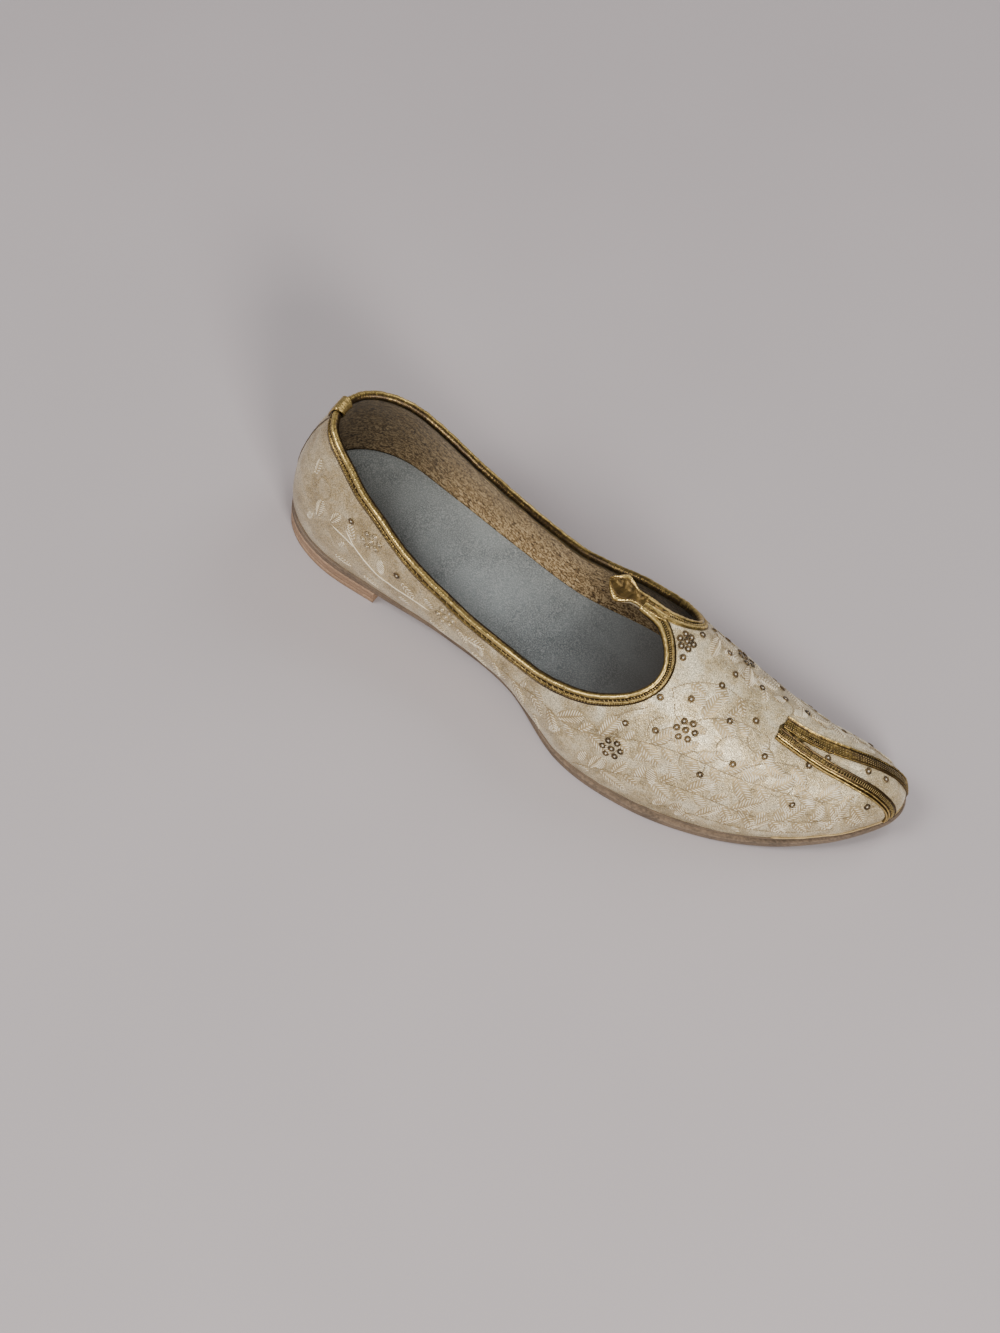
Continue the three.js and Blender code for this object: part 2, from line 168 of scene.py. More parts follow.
def smooth(knots: Array, values: Array, at: Array) -> Array:
    """Smooth curve through the values at the knots.

    Args:
        knots: Increasing positions.
        values: One value for each knot.
        at: Positions to read.

    Returns:
        The curve's value at each position.
    """
    knots = np.asarray(knots, float)
    values = np.asarray(values, float)
    at = np.asarray(at, float)
    width = np.diff(knots)
    rise = np.diff(values) / width
    slope = np.empty_like(values)
    slope[1:-1] = (rise[:-1] * width[1:] + rise[1:] * width[:-1]) / (width[:-1] + width[1:])
    slope[0], slope[-1] = rise[0], rise[-1]
    i = np.clip(np.searchsorted(knots, at, side="right") - 1, 0, len(knots) - 2)
    w = width[i]
    s = (at - knots[i]) / w
    s2, s3 = s * s, s * s * s
    start = values[i] * (2 * s3 - 3 * s2 + 1) + w * slope[i] * (s3 - 2 * s2 + s)
    return start + values[i + 1] * (3 * s2 - 2 * s3) + w * slope[i + 1] * (s3 - s2)


def run_along(path: Array) -> Array:
    """How far along a path of points each of them is."""
    return np.concatenate([[0], np.cumsum(np.linalg.norm(np.diff(path, axis=0), axis=1))])


@dataclass(frozen=True)
class Crease:
    """A soft trough (or ridge, with a negative depth) between two places of the upper, in mm."""

    side: Side
    start: tuple[float, float]
    end: tuple[float, float]
    width: float
    depth: float


# Stations along the feather line in mm and climbs in degrees.
CREASES = (
    Crease(Side.OUTER, (196, 88), (214, 58), 5.0, 0.55),
    Crease(Side.OUTER, (188, 74), (200, 48), 4.0, -0.35),
    Crease(Side.OUTER, (214, 80), (236, 66), 5.5, 0.45),
    Crease(Side.OUTER, (228, 62), (262, 50), 6.0, -0.5),
    Crease(Side.OUTER, (205, 30), (240, 26), 7.0, 0.45),
    Crease(Side.OUTER, (168, 30), (182, 12), 6.0, 0.6),
    Crease(Side.OUTER, (262, 62), (286, 46), 4.5, 0.35),
    Crease(Side.OUTER, (140, 20), (156, 6), 5.0, 0.5),
    Crease(Side.OUTER, (92, 20), (110, 5), 5.0, 0.45),
    Crease(Side.OUTER, (52, 34), (66, 8), 6.0, 0.35),
    Crease(Side.OUTER, (10, 40), (22, 12), 6.0, 0.4),
    Crease(Side.INNER, (198, 86), (212, 60), 5.0, 0.5),
    Crease(Side.INNER, (222, 74), (244, 56), 6.0, 0.45),
    Crease(Side.INNER, (200, 44), (222, 30), 6.0, -0.4),
    Crease(Side.INNER, (164, 34), (180, 10), 6.0, 0.6),
    Crease(Side.INNER, (126, 24), (140, 6), 5.0, 0.5),
    Crease(Side.INNER, (84, 24), (98, 6), 5.0, 0.45),
    Crease(Side.INNER, (254, 48), (276, 36), 5.0, 0.4),
    Crease(Side.INNER, (16, 38), (30, 10), 6.0, 0.4),
)


class Last:
    """The outer surface of the shoe, walked by turn round the outline and climb up the section.

    A turn is 0 at the heel and pi at the toe, positive on the outer side of the foot and
    negative on the inner side. A climb is 0 on the feather line and half of pi on the ridge.
    """

    LENGTH = 294.5
    BELLY_PEAK = math.radians(17)
    DROOP = 6.5
    DROOP_REACH = (178.0, 138.0)
    DROOP_CLIMB = (math.radians(66), math.radians(86))
    STEP = 1e-3
    CAD_TURNS = 113
    ARC_TURNS = 400
    GIRTH_STEPS = 16

    def __init__(self) -> None:
        """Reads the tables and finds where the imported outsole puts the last."""
        table = np.array(SECTIONS, float)
        self.knots = self.turn_of(table[:, 0])
        self.feather_z, self.belly, self.margin_of = table[:, 3], table[:, 4], table[:, 5]
        lateral, medial = table[:, 1], table[:, 2]
        knots = self.knots
        full = 2 * math.pi
        self.outline_turns = np.concatenate(
            [-knots[3:0:-1], knots, full - knots[-2::-1], full + knots[1:4]]
        )
        self.outline_y = np.concatenate(
            [medial[3:0:-1], -lateral, medial[-2::-1], -lateral[1:4]]
        )
        self.ridge_rows = np.array(RIDGE, float)
        self.shift = np.zeros(3)
        turns = np.linspace(0, full, self.CAD_TURNS)
        lowest = self.feather(turns, self.column(self.margin_of, turns)).min(0)
        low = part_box("outsole")[0]
        self.shift = np.array([low.x - lowest[0], low.y - lowest[1], 0.0])
        self.edges = np.arange(len(COLLAR), dtype=float)
        collar = np.array(COLLAR, float)
        self.collar_turns = self.turn_of(collar[:, 0])
        self.collar_climbs = collar[:, 1]
        self.arc_turns = np.linspace(0, math.pi, self.ARC_TURNS)
        self.arc = run_along(self.feather(self.arc_turns)[:, :2])
        self.folds = [(crease, *self._ends(crease)) for crease in CREASES]

    def turn_of(self, station: Array | float) -> Array:
        """Turn of a station along the feather line, in mm."""
        return np.arccos(np.clip(1 - 2 * np.asarray(station, float) / self.LENGTH, -1, 1))

    def station_of(self, turn: Array) -> Array:
        """Station along the feather line of a turn, in mm."""
        return self.LENGTH * (1 - np.cos(turn)) / 2

    def column(self, values: Array, turn: Array) -> Array:
        """A column of the sections, read at turns on either side."""
        folded = np.abs((np.asarray(turn, float) + math.pi) % (2 * math.pi) - math.pi)
        return smooth(self.knots, values, folded)

    def _y(self, turn: Array) -> Array:
        """Outline y at turns, in mm."""
        return smooth(self.outline_turns, self.outline_y, np.asarray(turn) % (2 * math.pi))

    def feather(self, turn: Array, grow: Array | float = 0.0) -> Array:
        """Points of the feather line, moved outwards in plan by grow mm."""
        turn = np.asarray(turn, float)
        e = self.STEP
        dx = self.station_of(turn + e) - self.station_of(turn - e)
        dy = self._y(turn + e) - self._y(turn - e)
        n = np.hypot(dx, dy) + 1e-12
        x = self.station_of(turn) + grow * dy / n
        y = self._y(turn) - grow * dx / n
        z = self.column(self.feather_z, turn)
        return np.stack([x, y, z], -1) * MM + self.shift

    def ridge(self, turn: Array) -> Array:
        """Points of the ridge that belong to the sections at these turns."""
        rows = self.ridge_rows
        first, final = rows[0, 0], rows[-1, 0]
        x = first + (final - first) * self.station_of(turn) / self.LENGTH
        y = smooth(rows[:, 0], rows[:, 1], x)
        return np.stack([x, y, smooth(rows[:, 0], rows[:, 2], x)], -1) * MM + self.shift

    def surface(self, turn: Array, climb: Array) -> Array:
        """Points of the outer surface."""
        turn, climb = np.broadcast_arrays(np.asarray(turn, float), np.asarray(climb, float))
        foot, ridge = self.feather(turn), self.ridge(turn)
        out = foot[..., :2] - ridge[..., :2]
        reach = np.linalg.norm(out, axis=-1)
        rise = climb / self.BELLY_PEAK
        belly = self.column(self.belly, turn) * MM * rise * np.exp(1 - rise)
        scale = np.cos(climb) * (1 + belly / reach)
        xy = ridge[..., :2] + out * scale[..., None]
        station = (xy[..., 0] - self.shift[0]) / MM
        bend = self.DROOP * ease(*self.DROOP_REACH, station) * ease(*self.DROOP_CLIMB, climb)
        z = foot[..., 2] + (ridge[..., 2] - foot[..., 2]) * np.sin(climb) - bend * MM
        return np.concatenate([xy, z[..., None]], -1)

    def slopes(self, turn: Array, climb: Array) -> tuple[Array, Array, Array]:
        """Change with turn, change with climb and outward normal of the surface."""
        e = self.STEP
        along = (self.surface(turn + e, climb) - self.surface(turn - e, climb)) / (2 * e)
        up = (self.surface(turn, climb + e) - self.surface(turn, climb - e)) / (2 * e)
        return along, up, unit(np.cross(along, up))

    def walk(self, turn: Array, climb: Array, step: Array) -> tuple[Array, Array]:
        """Places reached by a tangent step.

        Args:
            turn: Turns to start from.
            climb: Climbs to start from.
            step: Tangent vectors in metres, one for each place.

        Returns:
            The turns and climbs of the ends of the steps.
        """
        along, up, _ = self.slopes(turn, climb)
        aa, au, uu = (along * along).sum(-1), (along * up).sum(-1), (up * up).sum(-1)
        pa, pu = (step * along).sum(-1), (step * up).sum(-1)
        det = aa * uu - au * au
        return turn + (pa * uu - pu * au) / det, climb + (pu * aa - pa * au) / det

    def _ends(self, crease: Crease) -> tuple[Array, Array]:
        """The two end points of a crease."""
        ends = np.array([crease.start, crease.end])
        turns = crease.side.value * self.turn_of(ends[:, 0])
        points = self.surface(turns, radians(ends[:, 1]))
        return points[0], points[1]

    def relief(self, points: Array) -> Array:
        """Height in metres of the creases and of the cloth's slow waves at points."""
        height = np.zeros(points.shape[:-1])
        for crease, a, b in self.folds:
            ab = b - a
            t = np.clip(((points - a) @ ab) / (ab @ ab), 0, 1)
            gap = np.linalg.norm(points - (a + t[..., None] * ab), axis=-1) / (crease.width * MM)
            fade = np.sin(np.pi * np.clip(t, 0.06, 0.94)) ** 0.5
            shape = np.exp(-gap * gap) - 0.35 * np.exp(-((gap - 1.9) ** 2))
            height -= crease.depth * MM * shape * fade
        x, y, z = points[..., 0], points[..., 1], points[..., 2]
        height += 0.16 * MM * np.sin(x * 190 + 2.1 * np.sin(y * 120 + 0.4)) * np.sin(z * 170 + y * 90)
        height += 0.07 * MM * np.sin(x * 610 + z * 340 + 1.7) * np.sin(y * 520 - z * 410 + x * 130)
        return height

    def skin(self, turn: Array, climb: Array, height: Array | float = 0.0) -> Array:
        """Points at a height in mm over the creased surface."""
        turn, climb = np.broadcast_arrays(np.asarray(turn, float), np.asarray(climb, float))
        points = self.surface(turn, climb)
        normal = self.slopes(turn, climb)[2]
        lift = self.relief(points) + np.asarray(height) * MM
        return points + normal * lift[..., None]

    def collar(self, edge: Array) -> tuple[Array, Array]:
        """Turns and climbs of the collar edge; a positive edge row is on the outer side."""
        edge = np.asarray(edge, float)
        row = np.abs(edge)
        turn = np.sign(edge) * smooth(self.edges, self.collar_turns, row)
        return turn, radians(smooth(self.edges, self.collar_climbs, row))

    def beside_ridge(self, station: Array, distance: Array) -> tuple[Array, Array]:
        """Place at a ridge station and a plan distance in mm from the ridge, positive to the inner side."""
        first, final = self.ridge_rows[0, 0], self.ridge_rows[-1, 0]
        share = (np.asarray(station, float) - first) / (final - first)
        turn = self.turn_of(share * self.LENGTH) * np.where(distance > 0, -1, 1)
        gap = (self.feather(turn) - self.ridge(turn))[..., :2]
        reach = np.linalg.norm(gap, axis=-1) / MM
        return turn, np.arccos(np.abs(distance) / reach)

    def cloth_uv(self, turn: Array, climb: Array) -> Array:
        """Cloth coordinates in metres: along the outline, and down from the ridge, negative outside."""
        shares = np.linspace(0, 1, self.GIRTH_STEPS)
        climbs = climb[..., None] + (math.pi / 2 - climb[..., None]) * shares
        path = self.surface(np.broadcast_to(turn[..., None], climbs.shape), climbs)
        girth = np.linalg.norm(np.diff(path, axis=-2), axis=-1).sum(-1)
        u = np.interp(np.abs(turn), self.arc_turns, self.arc)
        return np.stack([u, -np.sign(turn + 1e-9) * girth], -1)


LAST = Last()

# ---------------------------------------------------------------------------
# Modelling tools.
# ---------------------------------------------------------------------------


def pick(piece: bpy.types.Object) -> None:
    """Makes one piece the only selected and the active one."""
    bpy.ops.object.select_all(action="DESELECT")
    piece.select_set(True)
    bpy.context.view_layer.objects.active = piece


def lay(
    name: str,
    points: Array,
    uv: Array | None = None,
    rise: Array | None = None,
    closed: bool = False,
    capped: bool = False,
) -> bpy.types.Object:
    """Adds a grid and lays its vertices on rows of points.

    Args:
        name: Name of the piece.
        points: Points in metres, rows by lanes by three.
        uv: Cloth or ribbon coordinates, rows by lanes by two.
        rise: How proud the finish is at each point, 0 to 1, rows by lanes; the foils paint their shade and
            highlight from it.
        closed: Whether each row is a ring, whose last point is joined to its first.
        capped: Whether the first and the last row are filled.

    Returns:
        The new piece, welded, with its normals outwards.
    """
    if closed:
        points = np.concatenate([points, points[:, :1]], 1)
        uv = None if uv is None else np.concatenate([uv, uv[:, :1]], 1)
        rise = None if rise is None else np.concatenate([rise, rise[:, :1]], 1)
    rows, lanes = points.shape[:2]
    bpy.ops.object.select_all(action="DESELECT")
    bpy.ops.mesh.primitive_grid_add(x_subdivisions=lanes - 1, y_subdivisions=rows - 1, size=1)
    piece = bpy.context.object
    piece.name = piece.data.name = name
    mesh = piece.data
    mesh.vertices.foreach_set("co", np.ascontiguousarray(points, np.float32).ravel())
    if uv is not None:
        corners = np.zeros(len(mesh.loops), np.int32)
        mesh.loops.foreach_get("vertex_index", corners)
        mesh.uv_layers[0].data.foreach_set("uv", uv.reshape(-1, 2)[corners].astype(np.float32).ravel())
    if rise is not None:
        layer = mesh.attributes.new("rise", "FLOAT", "POINT")
        layer.data.foreach_set("value", np.ascontiguousarray(rise, np.float32).ravel())
    mesh.update()
    weld(piece, capped, outwards=closed)
    return piece


def weld(piece: bpy.types.Object, capped: bool = False, outwards: bool = True) -> None:
    """Joins a piece's doubles, fills its open ends and turns its faces outwards."""
    pick(piece)
    bpy.ops.object.mode_set(mode="EDIT")
    bpy.ops.mesh.select_all(action="SELECT")
    bpy.ops.mesh.remove_doubles(threshold=2e-6)
    if capped:
        bpy.ops.mesh.select_all(action="SELECT")
        bpy.ops.mesh.fill_holes(sides=0)
    if outwards:
        bpy.ops.mesh.select_all(action="SELECT")
        bpy.ops.mesh.normals_make_consistent(inside=False)
    bpy.ops.object.mode_set(mode="OBJECT")
    bpy.ops.object.shade_smooth()


def join(name: str, pieces: list[bpy.types.Object]) -> bpy.types.Object:
    """Joins pieces into one named piece."""
    bpy.ops.object.select_all(action="DESELECT")
    for piece in pieces:
        piece.select_set(True)
    bpy.context.view_layer.objects.active = pieces[0]
    bpy.ops.object.join()
    pieces[0].name = pieces[0].data.name = name
    return pieces[0]


def thicken(piece: bpy.types.Object, wall: float) -> None:
    """Gives a sheet a wall of that many mm, inwards, as an applied modifier."""
    pick(piece)
    modifier = piece.modifiers.new("wall", "SOLIDIFY")
    modifier.thickness = wall * MM
    modifier.offset = -1
    modifier.use_even_offset = False
    bpy.ops.object.modifier_apply(modifier=modifier.name)


def soften(piece: bpy.types.Object, degrees: float) -> None:
    """Shades a piece smooth, apart from edges sharper than the angle."""
    pick(piece)
    bpy.ops.object.shade_smooth_by_angle(angle=math.radians(degrees))


def finish_piece(piece: bpy.types.Object, material: bpy.types.Material, slot: str, *nodes: str) -> None:
    """Dresses a piece, and gives it its body and the CAD nodes it stands for."""
    piece.data.materials.clear()
    piece.data.materials.append(material)
    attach(piece, ROOT)
    if nodes:
        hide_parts(*nodes)
    piece.data.calc_loop_triangles()
    log.info("%s: %d triangles", piece.name, len(piece.data.loop_triangles))


class Pattern(Enum):
    """Small shapes that are modelled once and copied."""

    STITCH = "stitch"
    RING = "ring"
    CUP = "cup"


def model_pattern(pattern: Pattern) -> tuple[Array, list[list[int]]]:
    """Models a small shape at unit size.

    Args:
        pattern: Which shape.

    Returns:
        Its vertices, long side on X and thickness on Z, and its faces.
    """
    bpy.ops.object.select_all(action="DESELECT")
    if pattern is Pattern.STITCH:
        bpy.ops.mesh.primitive_uv_sphere_add(segments=6, ring_count=5, radius=0.5)
        bpy.ops.object.mode_set(mode="EDIT")
        bpy.ops.mesh.select_all(action="SELECT")
        bpy.ops.transform.rotate(value=math.pi / 2, orient_axis="Y", center_override=(0, 0, 0))
        bpy.ops.object.mode_set(mode="OBJECT")
    elif pattern is Pattern.RING:
        bpy.ops.mesh.primitive_torus_add(
            major_segments=12, minor_segments=5, major_radius=0.35, minor_radius=0.18
        )
    else:
        bpy.ops.mesh.primitive_uv_sphere_add(segments=8, ring_count=4, radius=0.5)
    piece = bpy.context.object
    vertices = np.array([v.co for v in piece.data.vertices], float)
    faces = [list(p.vertices) for p in piece.data.polygons]
    bpy.data.objects.remove(piece)
    return vertices, faces


def scatter(name: str, pattern: Pattern, origins: Array, axes: Array) -> bpy.types.Object:
    """Copies a small shape to every place, as one piece.

    Args:
        name: Name of the piece.
        pattern: The shape to copy.
        origins: Centres in metres, one row each.
        axes: For each copy the vectors, in metres, that its unit X, Y and Z become.

    Returns:
        The piece that holds all the copies.
    """
    vertices, faces = model_pattern(pattern)
    points = origins[:, None, :] + np.einsum("vk,nkj->nvj", vertices, axes)
    count = len(vertices)
    all_faces = [[i + n * count for i in face] for n in range(len(origins)) for face in faces]
    mesh = bpy.data.meshes.new(name)
    mesh.from_pydata(points.reshape(-1, 3).tolist(), [], all_faces)
    mesh.update()
    piece = bpy.data.objects.new(name, mesh)
    bpy.context.scene.collection.objects.link(piece)
    pick(piece)
    bpy.ops.object.shade_smooth()
    return piece


def stitches(
    name: str, start: Array, end: Array, normal: Array, width: float, height: float
) -> bpy.types.Object:
    """Stitches between pairs of points, lying on the surface.

    Args:
        name: Name of the piece.
        start: Where each stitch comes up, in metres.
        end: Where each stitch goes down, in metres.
        normal: Surface normal at each stitch.
        width: Width of the thread in mm.
        height: Height of the thread in mm.

    Returns:
        One piece with all the stitches.
    """
    run = end - start
    across = unit(np.cross(normal, run))
    up = unit(np.cross(run, across))
    axes = np.stack([run, across * width * MM, up * height * MM], 1)
    return scatter(name, Pattern.STITCH, (start + end) / 2 + up * 0.1 * height * MM, axes)


def tube(name: str, path: Array, normal: Array, width: float, height: float) -> bpy.types.Object:
    """A cord with a flattened round section along a path of points."""
    travel = unit(np.gradient(path, axis=0))
    across = unit(np.cross(normal, travel))
    angles = np.linspace(0, 2 * math.pi, TUBE_SIDES + 1)[:-1]
    taper = np.clip(np.minimum(np.arange(len(path)), np.arange(len(path))[::-1]) / 2 + 0.25, 0, 1)
    size = taper[:, None, None] * MM / 2
    rings = path[:, None] + across[:, None] * (np.cos(angles)[None, :, None] * width) * size
    rings = rings + normal[:, None] * (np.sin(angles)[None, :, None] * height) * size
    return lay(name, rings, closed=True, capped=True)


# ---------------------------------------------------------------------------
# Finishes.
# ---------------------------------------------------------------------------

Colour = tuple[float, float, float]
Socket = bpy.types.NodeSocket


class Bench:
    """A material's node tree, with short calls for the nodes that the finishes share."""

    def __init__(self, name: str) -> None:
        """Starts a material that holds only its shader and its output."""
        self.material = bpy.data.materials.new(name)
        self.material.use_nodes = True
        self.tree = self.material.node_tree
        self.tree.nodes.clear()
        output = self.tree.nodes.new("ShaderNodeOutputMaterial")
        self.shader = self.tree.nodes.new("ShaderNodeBsdfPrincipled")
        self.join(self.shader.outputs[0], output.inputs["Surface"])
        self.coordinates = self.tree.nodes.new("ShaderNodeTexCoord")

    def join(self, source: Socket, target: Socket) -> None:
        """Links two sockets."""
        self.tree.links.new(source, target)

    def set(self, **values: float | Colour) -> None:
        """Sets shader sockets that are the same all over the surface; _ stands for a space."""
        for key, value in values.items():
            socket = self.shader.inputs[key.replace("_", " ")]
            socket.default_value = (*value, 1.0) if isinstance(value, tuple) else value

    def space(self, source: str, stretch: Colour = (1, 1, 1)) -> Socket:
        """Object or UV coordinates, stretched by a Mapping node."""
        mapping = self.tree.nodes.new("ShaderNodeMapping")
        mapping.inputs["Scale"].default_value = stretch
        self.join(self.coordinates.outputs[source], mapping.inputs["Vector"])
        return mapping.outputs[0]

    def noise(self, space: Socket, scale: float, detail: float, warp: float = 0.0) -> Socket:
        """Noise from 0 to 1; the scale is in features for each metre."""
        node = self.tree.nodes.new("ShaderNodeTexNoise")
        node.inputs["Scale"].default_value = scale
        node.inputs["Detail"].default_value = detail
        node.inputs["Distortion"].default_value = warp
        self.join(space, node.inputs["Vector"])
        return node.outputs["Fac"]

    def bands(self, space: Socket, scale: float, direction: str, warp: float) -> Socket:
        """Wavy bands across a direction."""
        node = self.tree.nodes.new("ShaderNodeTexWave")
        node.bands_direction = direction
        node.inputs["Scale"].default_value = scale
        node.inputs["Distortion"].default_value = warp
        self.join(space, node.inputs["Vector"])
        return node.outputs["Fac"]

    def forward(self) -> Socket:
        """How far towards the toe a place is, in metres."""
        node = self.tree.nodes.new("ShaderNodeSeparateXYZ")
        self.join(self.coordinates.outputs["Object"], node.inputs[0])
        return node.outputs["X"]

    def darken(self, colour: Socket, share: Socket) -> Socket:
        """A colour multiplied by a grey level."""
        return self.mix(1.0, colour, self.ramp(share, [(0.0, (0, 0, 0)), (1.0, (1, 1, 1))]), "MULTIPLY")

    def attribute(self, name: str) -> Socket:
        """A mesh attribute's value."""
        node = self.tree.nodes.new("ShaderNodeAttribute")
        node.attribute_name = name
        return node.outputs["Fac"]

    def sum(self, kind: str, a: Socket | float, b: Socket | float) -> Socket:
        """Arithmetic on two values."""
        node = self.tree.nodes.new("ShaderNodeMath")
        node.operation = kind
        for socket, value in zip(node.inputs, (a, b)):
            if isinstance(value, (int, float)):
                socket.default_value = value
            else:
                self.join(value, socket)
        return node.outputs[0]

    def span(self, value: Socket, low: float, high: float, to: tuple[float, float]) -> Socket:
        """Maps a value from low..high to another span, held at its ends."""
        node = self.tree.nodes.new("ShaderNodeMapRange")
        for key, number in zip(("From Min", "From Max", "To Min", "To Max"), (low, high, *to)):
            node.inputs[key].default_value = number
        self.join(value, node.inputs["Value"])
        return node.outputs[0]

    def ramp(self, value: Socket, stops: list[tuple[float, Colour]]) -> Socket:
        """Colours at stops along a value."""
        node = self.tree.nodes.new("ShaderNodeValToRGB")
        elements = node.color_ramp.elements
        while len(elements) < len(stops):
            elements.new(0.5)
        for element, (position, colour) in zip(elements, stops):
            element.position = position
            element.color = (*colour, 1.0)
        self.join(value, node.inputs["Fac"])
        return node.outputs["Color"]

    def mix(
        self,
        share: Socket | float,
        a: Socket | Colour,
        b: Socket | Colour,
        blend: str = "MIX",
    ) -> Socket:
        """Blends two colours by a share."""
        node = self.tree.nodes.new("ShaderNodeMix")
        node.data_type = "RGBA"
        node.blend_type = blend
        for socket, value in ((node.inputs[0], share), (node.inputs[6], a), (node.inputs[7], b)):
            if isinstance(value, Socket):
                self.join(value, socket)
            else:
                socket.default_value = (*value, 1.0) if isinstance(value, tuple) else value
        return node.outputs[2]

    def bump(self, height: Socket, distance: float, strength: float = 1.0) -> None:
        """Adds a bump of that many mm on top of any before it."""
        node = self.tree.nodes.new("ShaderNodeBump")
        node.inputs["Strength"].default_value = strength
        node.inputs["Distance"].default_value = distance * MM
        self.join(height, node.inputs["Height"])
        normal = self.shader.inputs["Normal"]
        if normal.is_linked:
            self.join(normal.links[0].from_socket, node.inputs["Normal"])
        self.join(node.outputs[0], normal)

    def colour(self, socket: Socket) -> None:
        """Links the shader's base colour."""
        self.join(socket, self.shader.inputs["Base Color"])

    def roughness(self, value: Socket, low: float, high: float) -> None:
        """Links the shader's roughness to a value from 0 to 1."""
        self.join(self.span(value, 0.3, 0.7, (low, high)), self.shader.inputs["Roughness"])


@dataclass(frozen=True)
class Brocade:
    """Champagne satin with a self-coloured woven ground, and painted shade that darkens it towards the heel.
    """

    shade: Colour = (0.42, 0.315, 0.155)
    ground: Colour = (0.66, 0.52, 0.285)
    thread: Colour = (0.97, 0.855, 0.60)
    painted_heel_shade: Colour = (0.52, 0.36, 0.155)

    def material(self) -> bpy.types.Material:
        """Builds the finish."""
        b = Bench("ivory_brocade")
        cloth, solid = b.space("UV"), b.space("Object")
        patches = b.noise(solid, 90, 3, 0.6)
        marks = b.noise(b.space("UV", (1.0, 1.6, 1.0)), 620, 2, 1.8)
        grain = b.noise(solid, 2300, 3)
        weave = b.bands(cloth, 420, "DIAGONAL", 3.0)
        ground = b.ramp(patches, [(0.32, self.shade), (0.48, self.ground), (0.66, self.thread)])
        worked = b.mix(b.span(marks, 0.48, 0.62, (0.0, 0.55)), ground, self.thread)
        # painted shade: the heel half is mixed towards a darker, warmer colour
        worked = b.mix(b.span(b.forward(), -0.10, 0.02, (0.34, 0.0)), worked, self.painted_heel_shade)
        b.colour(b.darken(worked, b.span(grain, 0.39, 0.58, (0.42, 1.0))))
        b.roughness(marks, 0.42, 0.25)
        b.bump(weave, 0.05, 0.5)
        b.bump(grain, 0.16, 0.8)
        b.bump(marks, 0.28, 0.9)
        b.set(Metallic=0.45, Sheen_Weight=0.12, Sheen_Roughness=0.4, Anisotropic=0.5)
        return b.material


@dataclass(frozen=True)
class Thread:
    """Silk thread of one colour, with fine twist lines."""

    name: str
    dark: Colour
    light: Colour
    gloss: float = 0.35
    metal: float = 0.0

    def material(self) -> bpy.types.Material:
        """Builds the finish."""
        b = Bench(self.name)
        solid = b.space("Object")
        tone = b.noise(solid, 160, 2)
        twist = b.bands(solid, 900, "DIAGONAL", 2.0)
        b.colour(b.ramp(b.sum("ADD", b.sum("MULTIPLY", tone, 0.7), b.sum("MULTIPLY", twist, 0.3)),
                        [(0.3, self.dark), (0.65, self.light)]))
        b.roughness(tone, self.gloss, self.gloss + 0.15)
        b.bump(twist, 0.06, 0.6)
        b.set(Metallic=self.metal, Sheen_Weight=0.15)
        return b.material


@dataclass(frozen=True)
class Foil:
    """Crinkled metallic foil, with painted shade where it lies low and a painted highlight where it stands
    proud.
    """

    name: str
    hollow: Colour = (0.035, 0.020, 0.006)
    middle: Colour = (0.20, 0.135, 0.038)
    crest: Colour = (0.66, 0.48, 0.17)
    wrinkle: float = 0.25
    stain: float = 0.0
    mottle: float = 0.7

    def material(self) -> bpy.types.Material:
        """Builds the finish."""
        b = Bench(self.name)
        solid, ribbon = b.space("Object"), b.space("UV", (1.0, 0.35, 1.0))
        crinkle = b.noise(ribbon, 900, 3, 0.8)
        fine = b.noise(solid, 2600, 2)
        blot = b.noise(b.space("UV", (0.22, 1.0, 1.0)), 420, 2, 0.5)
        rise = b.attribute("rise")
        level = b.sum("ADD", rise, b.sum("MULTIPLY", b.sum("SUBTRACT", crinkle, 0.5), self.mottle))
        level = b.sum("SUBTRACT", level, b.span(blot, 0.50, 0.66, (0.0, self.stain)))
        # painted shade and highlight: the rise attribute runs the colour from the dark hollow to the bright
        # crest
        b.colour(b.ramp(level, [(0.05, self.hollow), (0.45, self.middle), (0.95, self.crest)]))
        b.roughness(blot, 0.24, 0.40)
        b.bump(fine, 0.05, 0.5)
        b.bump(crinkle, self.wrinkle, 0.9)
        b.set(Metallic=0.92, Coat_Weight=0.15, Coat_Roughness=0.3)
        return b.material


@dataclass(frozen=True)
class Lining:
    """Bronze-brown fibrous lining, with painted shade that darkens it inside the heel and towards the toe."""

    def material(self) -> bpy.types.Material:
        """Builds the finish."""
        b = Bench("bronze_lining")
        solid = b.space("Object")
        fibre = b.noise(b.space("UV", (1.0, 2.2, 1.0)), 430, 4, 1.6)
        speck = b.noise(solid, 1300, 2)
        tone = b.sum("ADD", b.sum("MULTIPLY", fibre, 0.62), b.sum("MULTIPLY", speck, 0.38))
        pile = b.ramp(tone, [(0.40, (0.060, 0.033, 0.015)), (0.49, (0.25, 0.160, 0.068)),
                             (0.58, (0.60, 0.44, 0.24))])
        # painted shade: darker inside the heel and towards the toe, by how far forward a place is
        heel = b.span(b.forward(), -0.135, -0.085, (0.26, 1.0))
        toe = b.span(b.forward(), -0.02, 0.03, (1.0, 0.45))
        b.colour(b.darken(pile, b.sum("MINIMUM", heel, toe)))
        b.roughness(speck, 0.45, 0.7)
        b.bump(fibre, 0.25, 0.8)
        b.set(Metallic=0.2, Sheen_Weight=0.08)
        return b.material


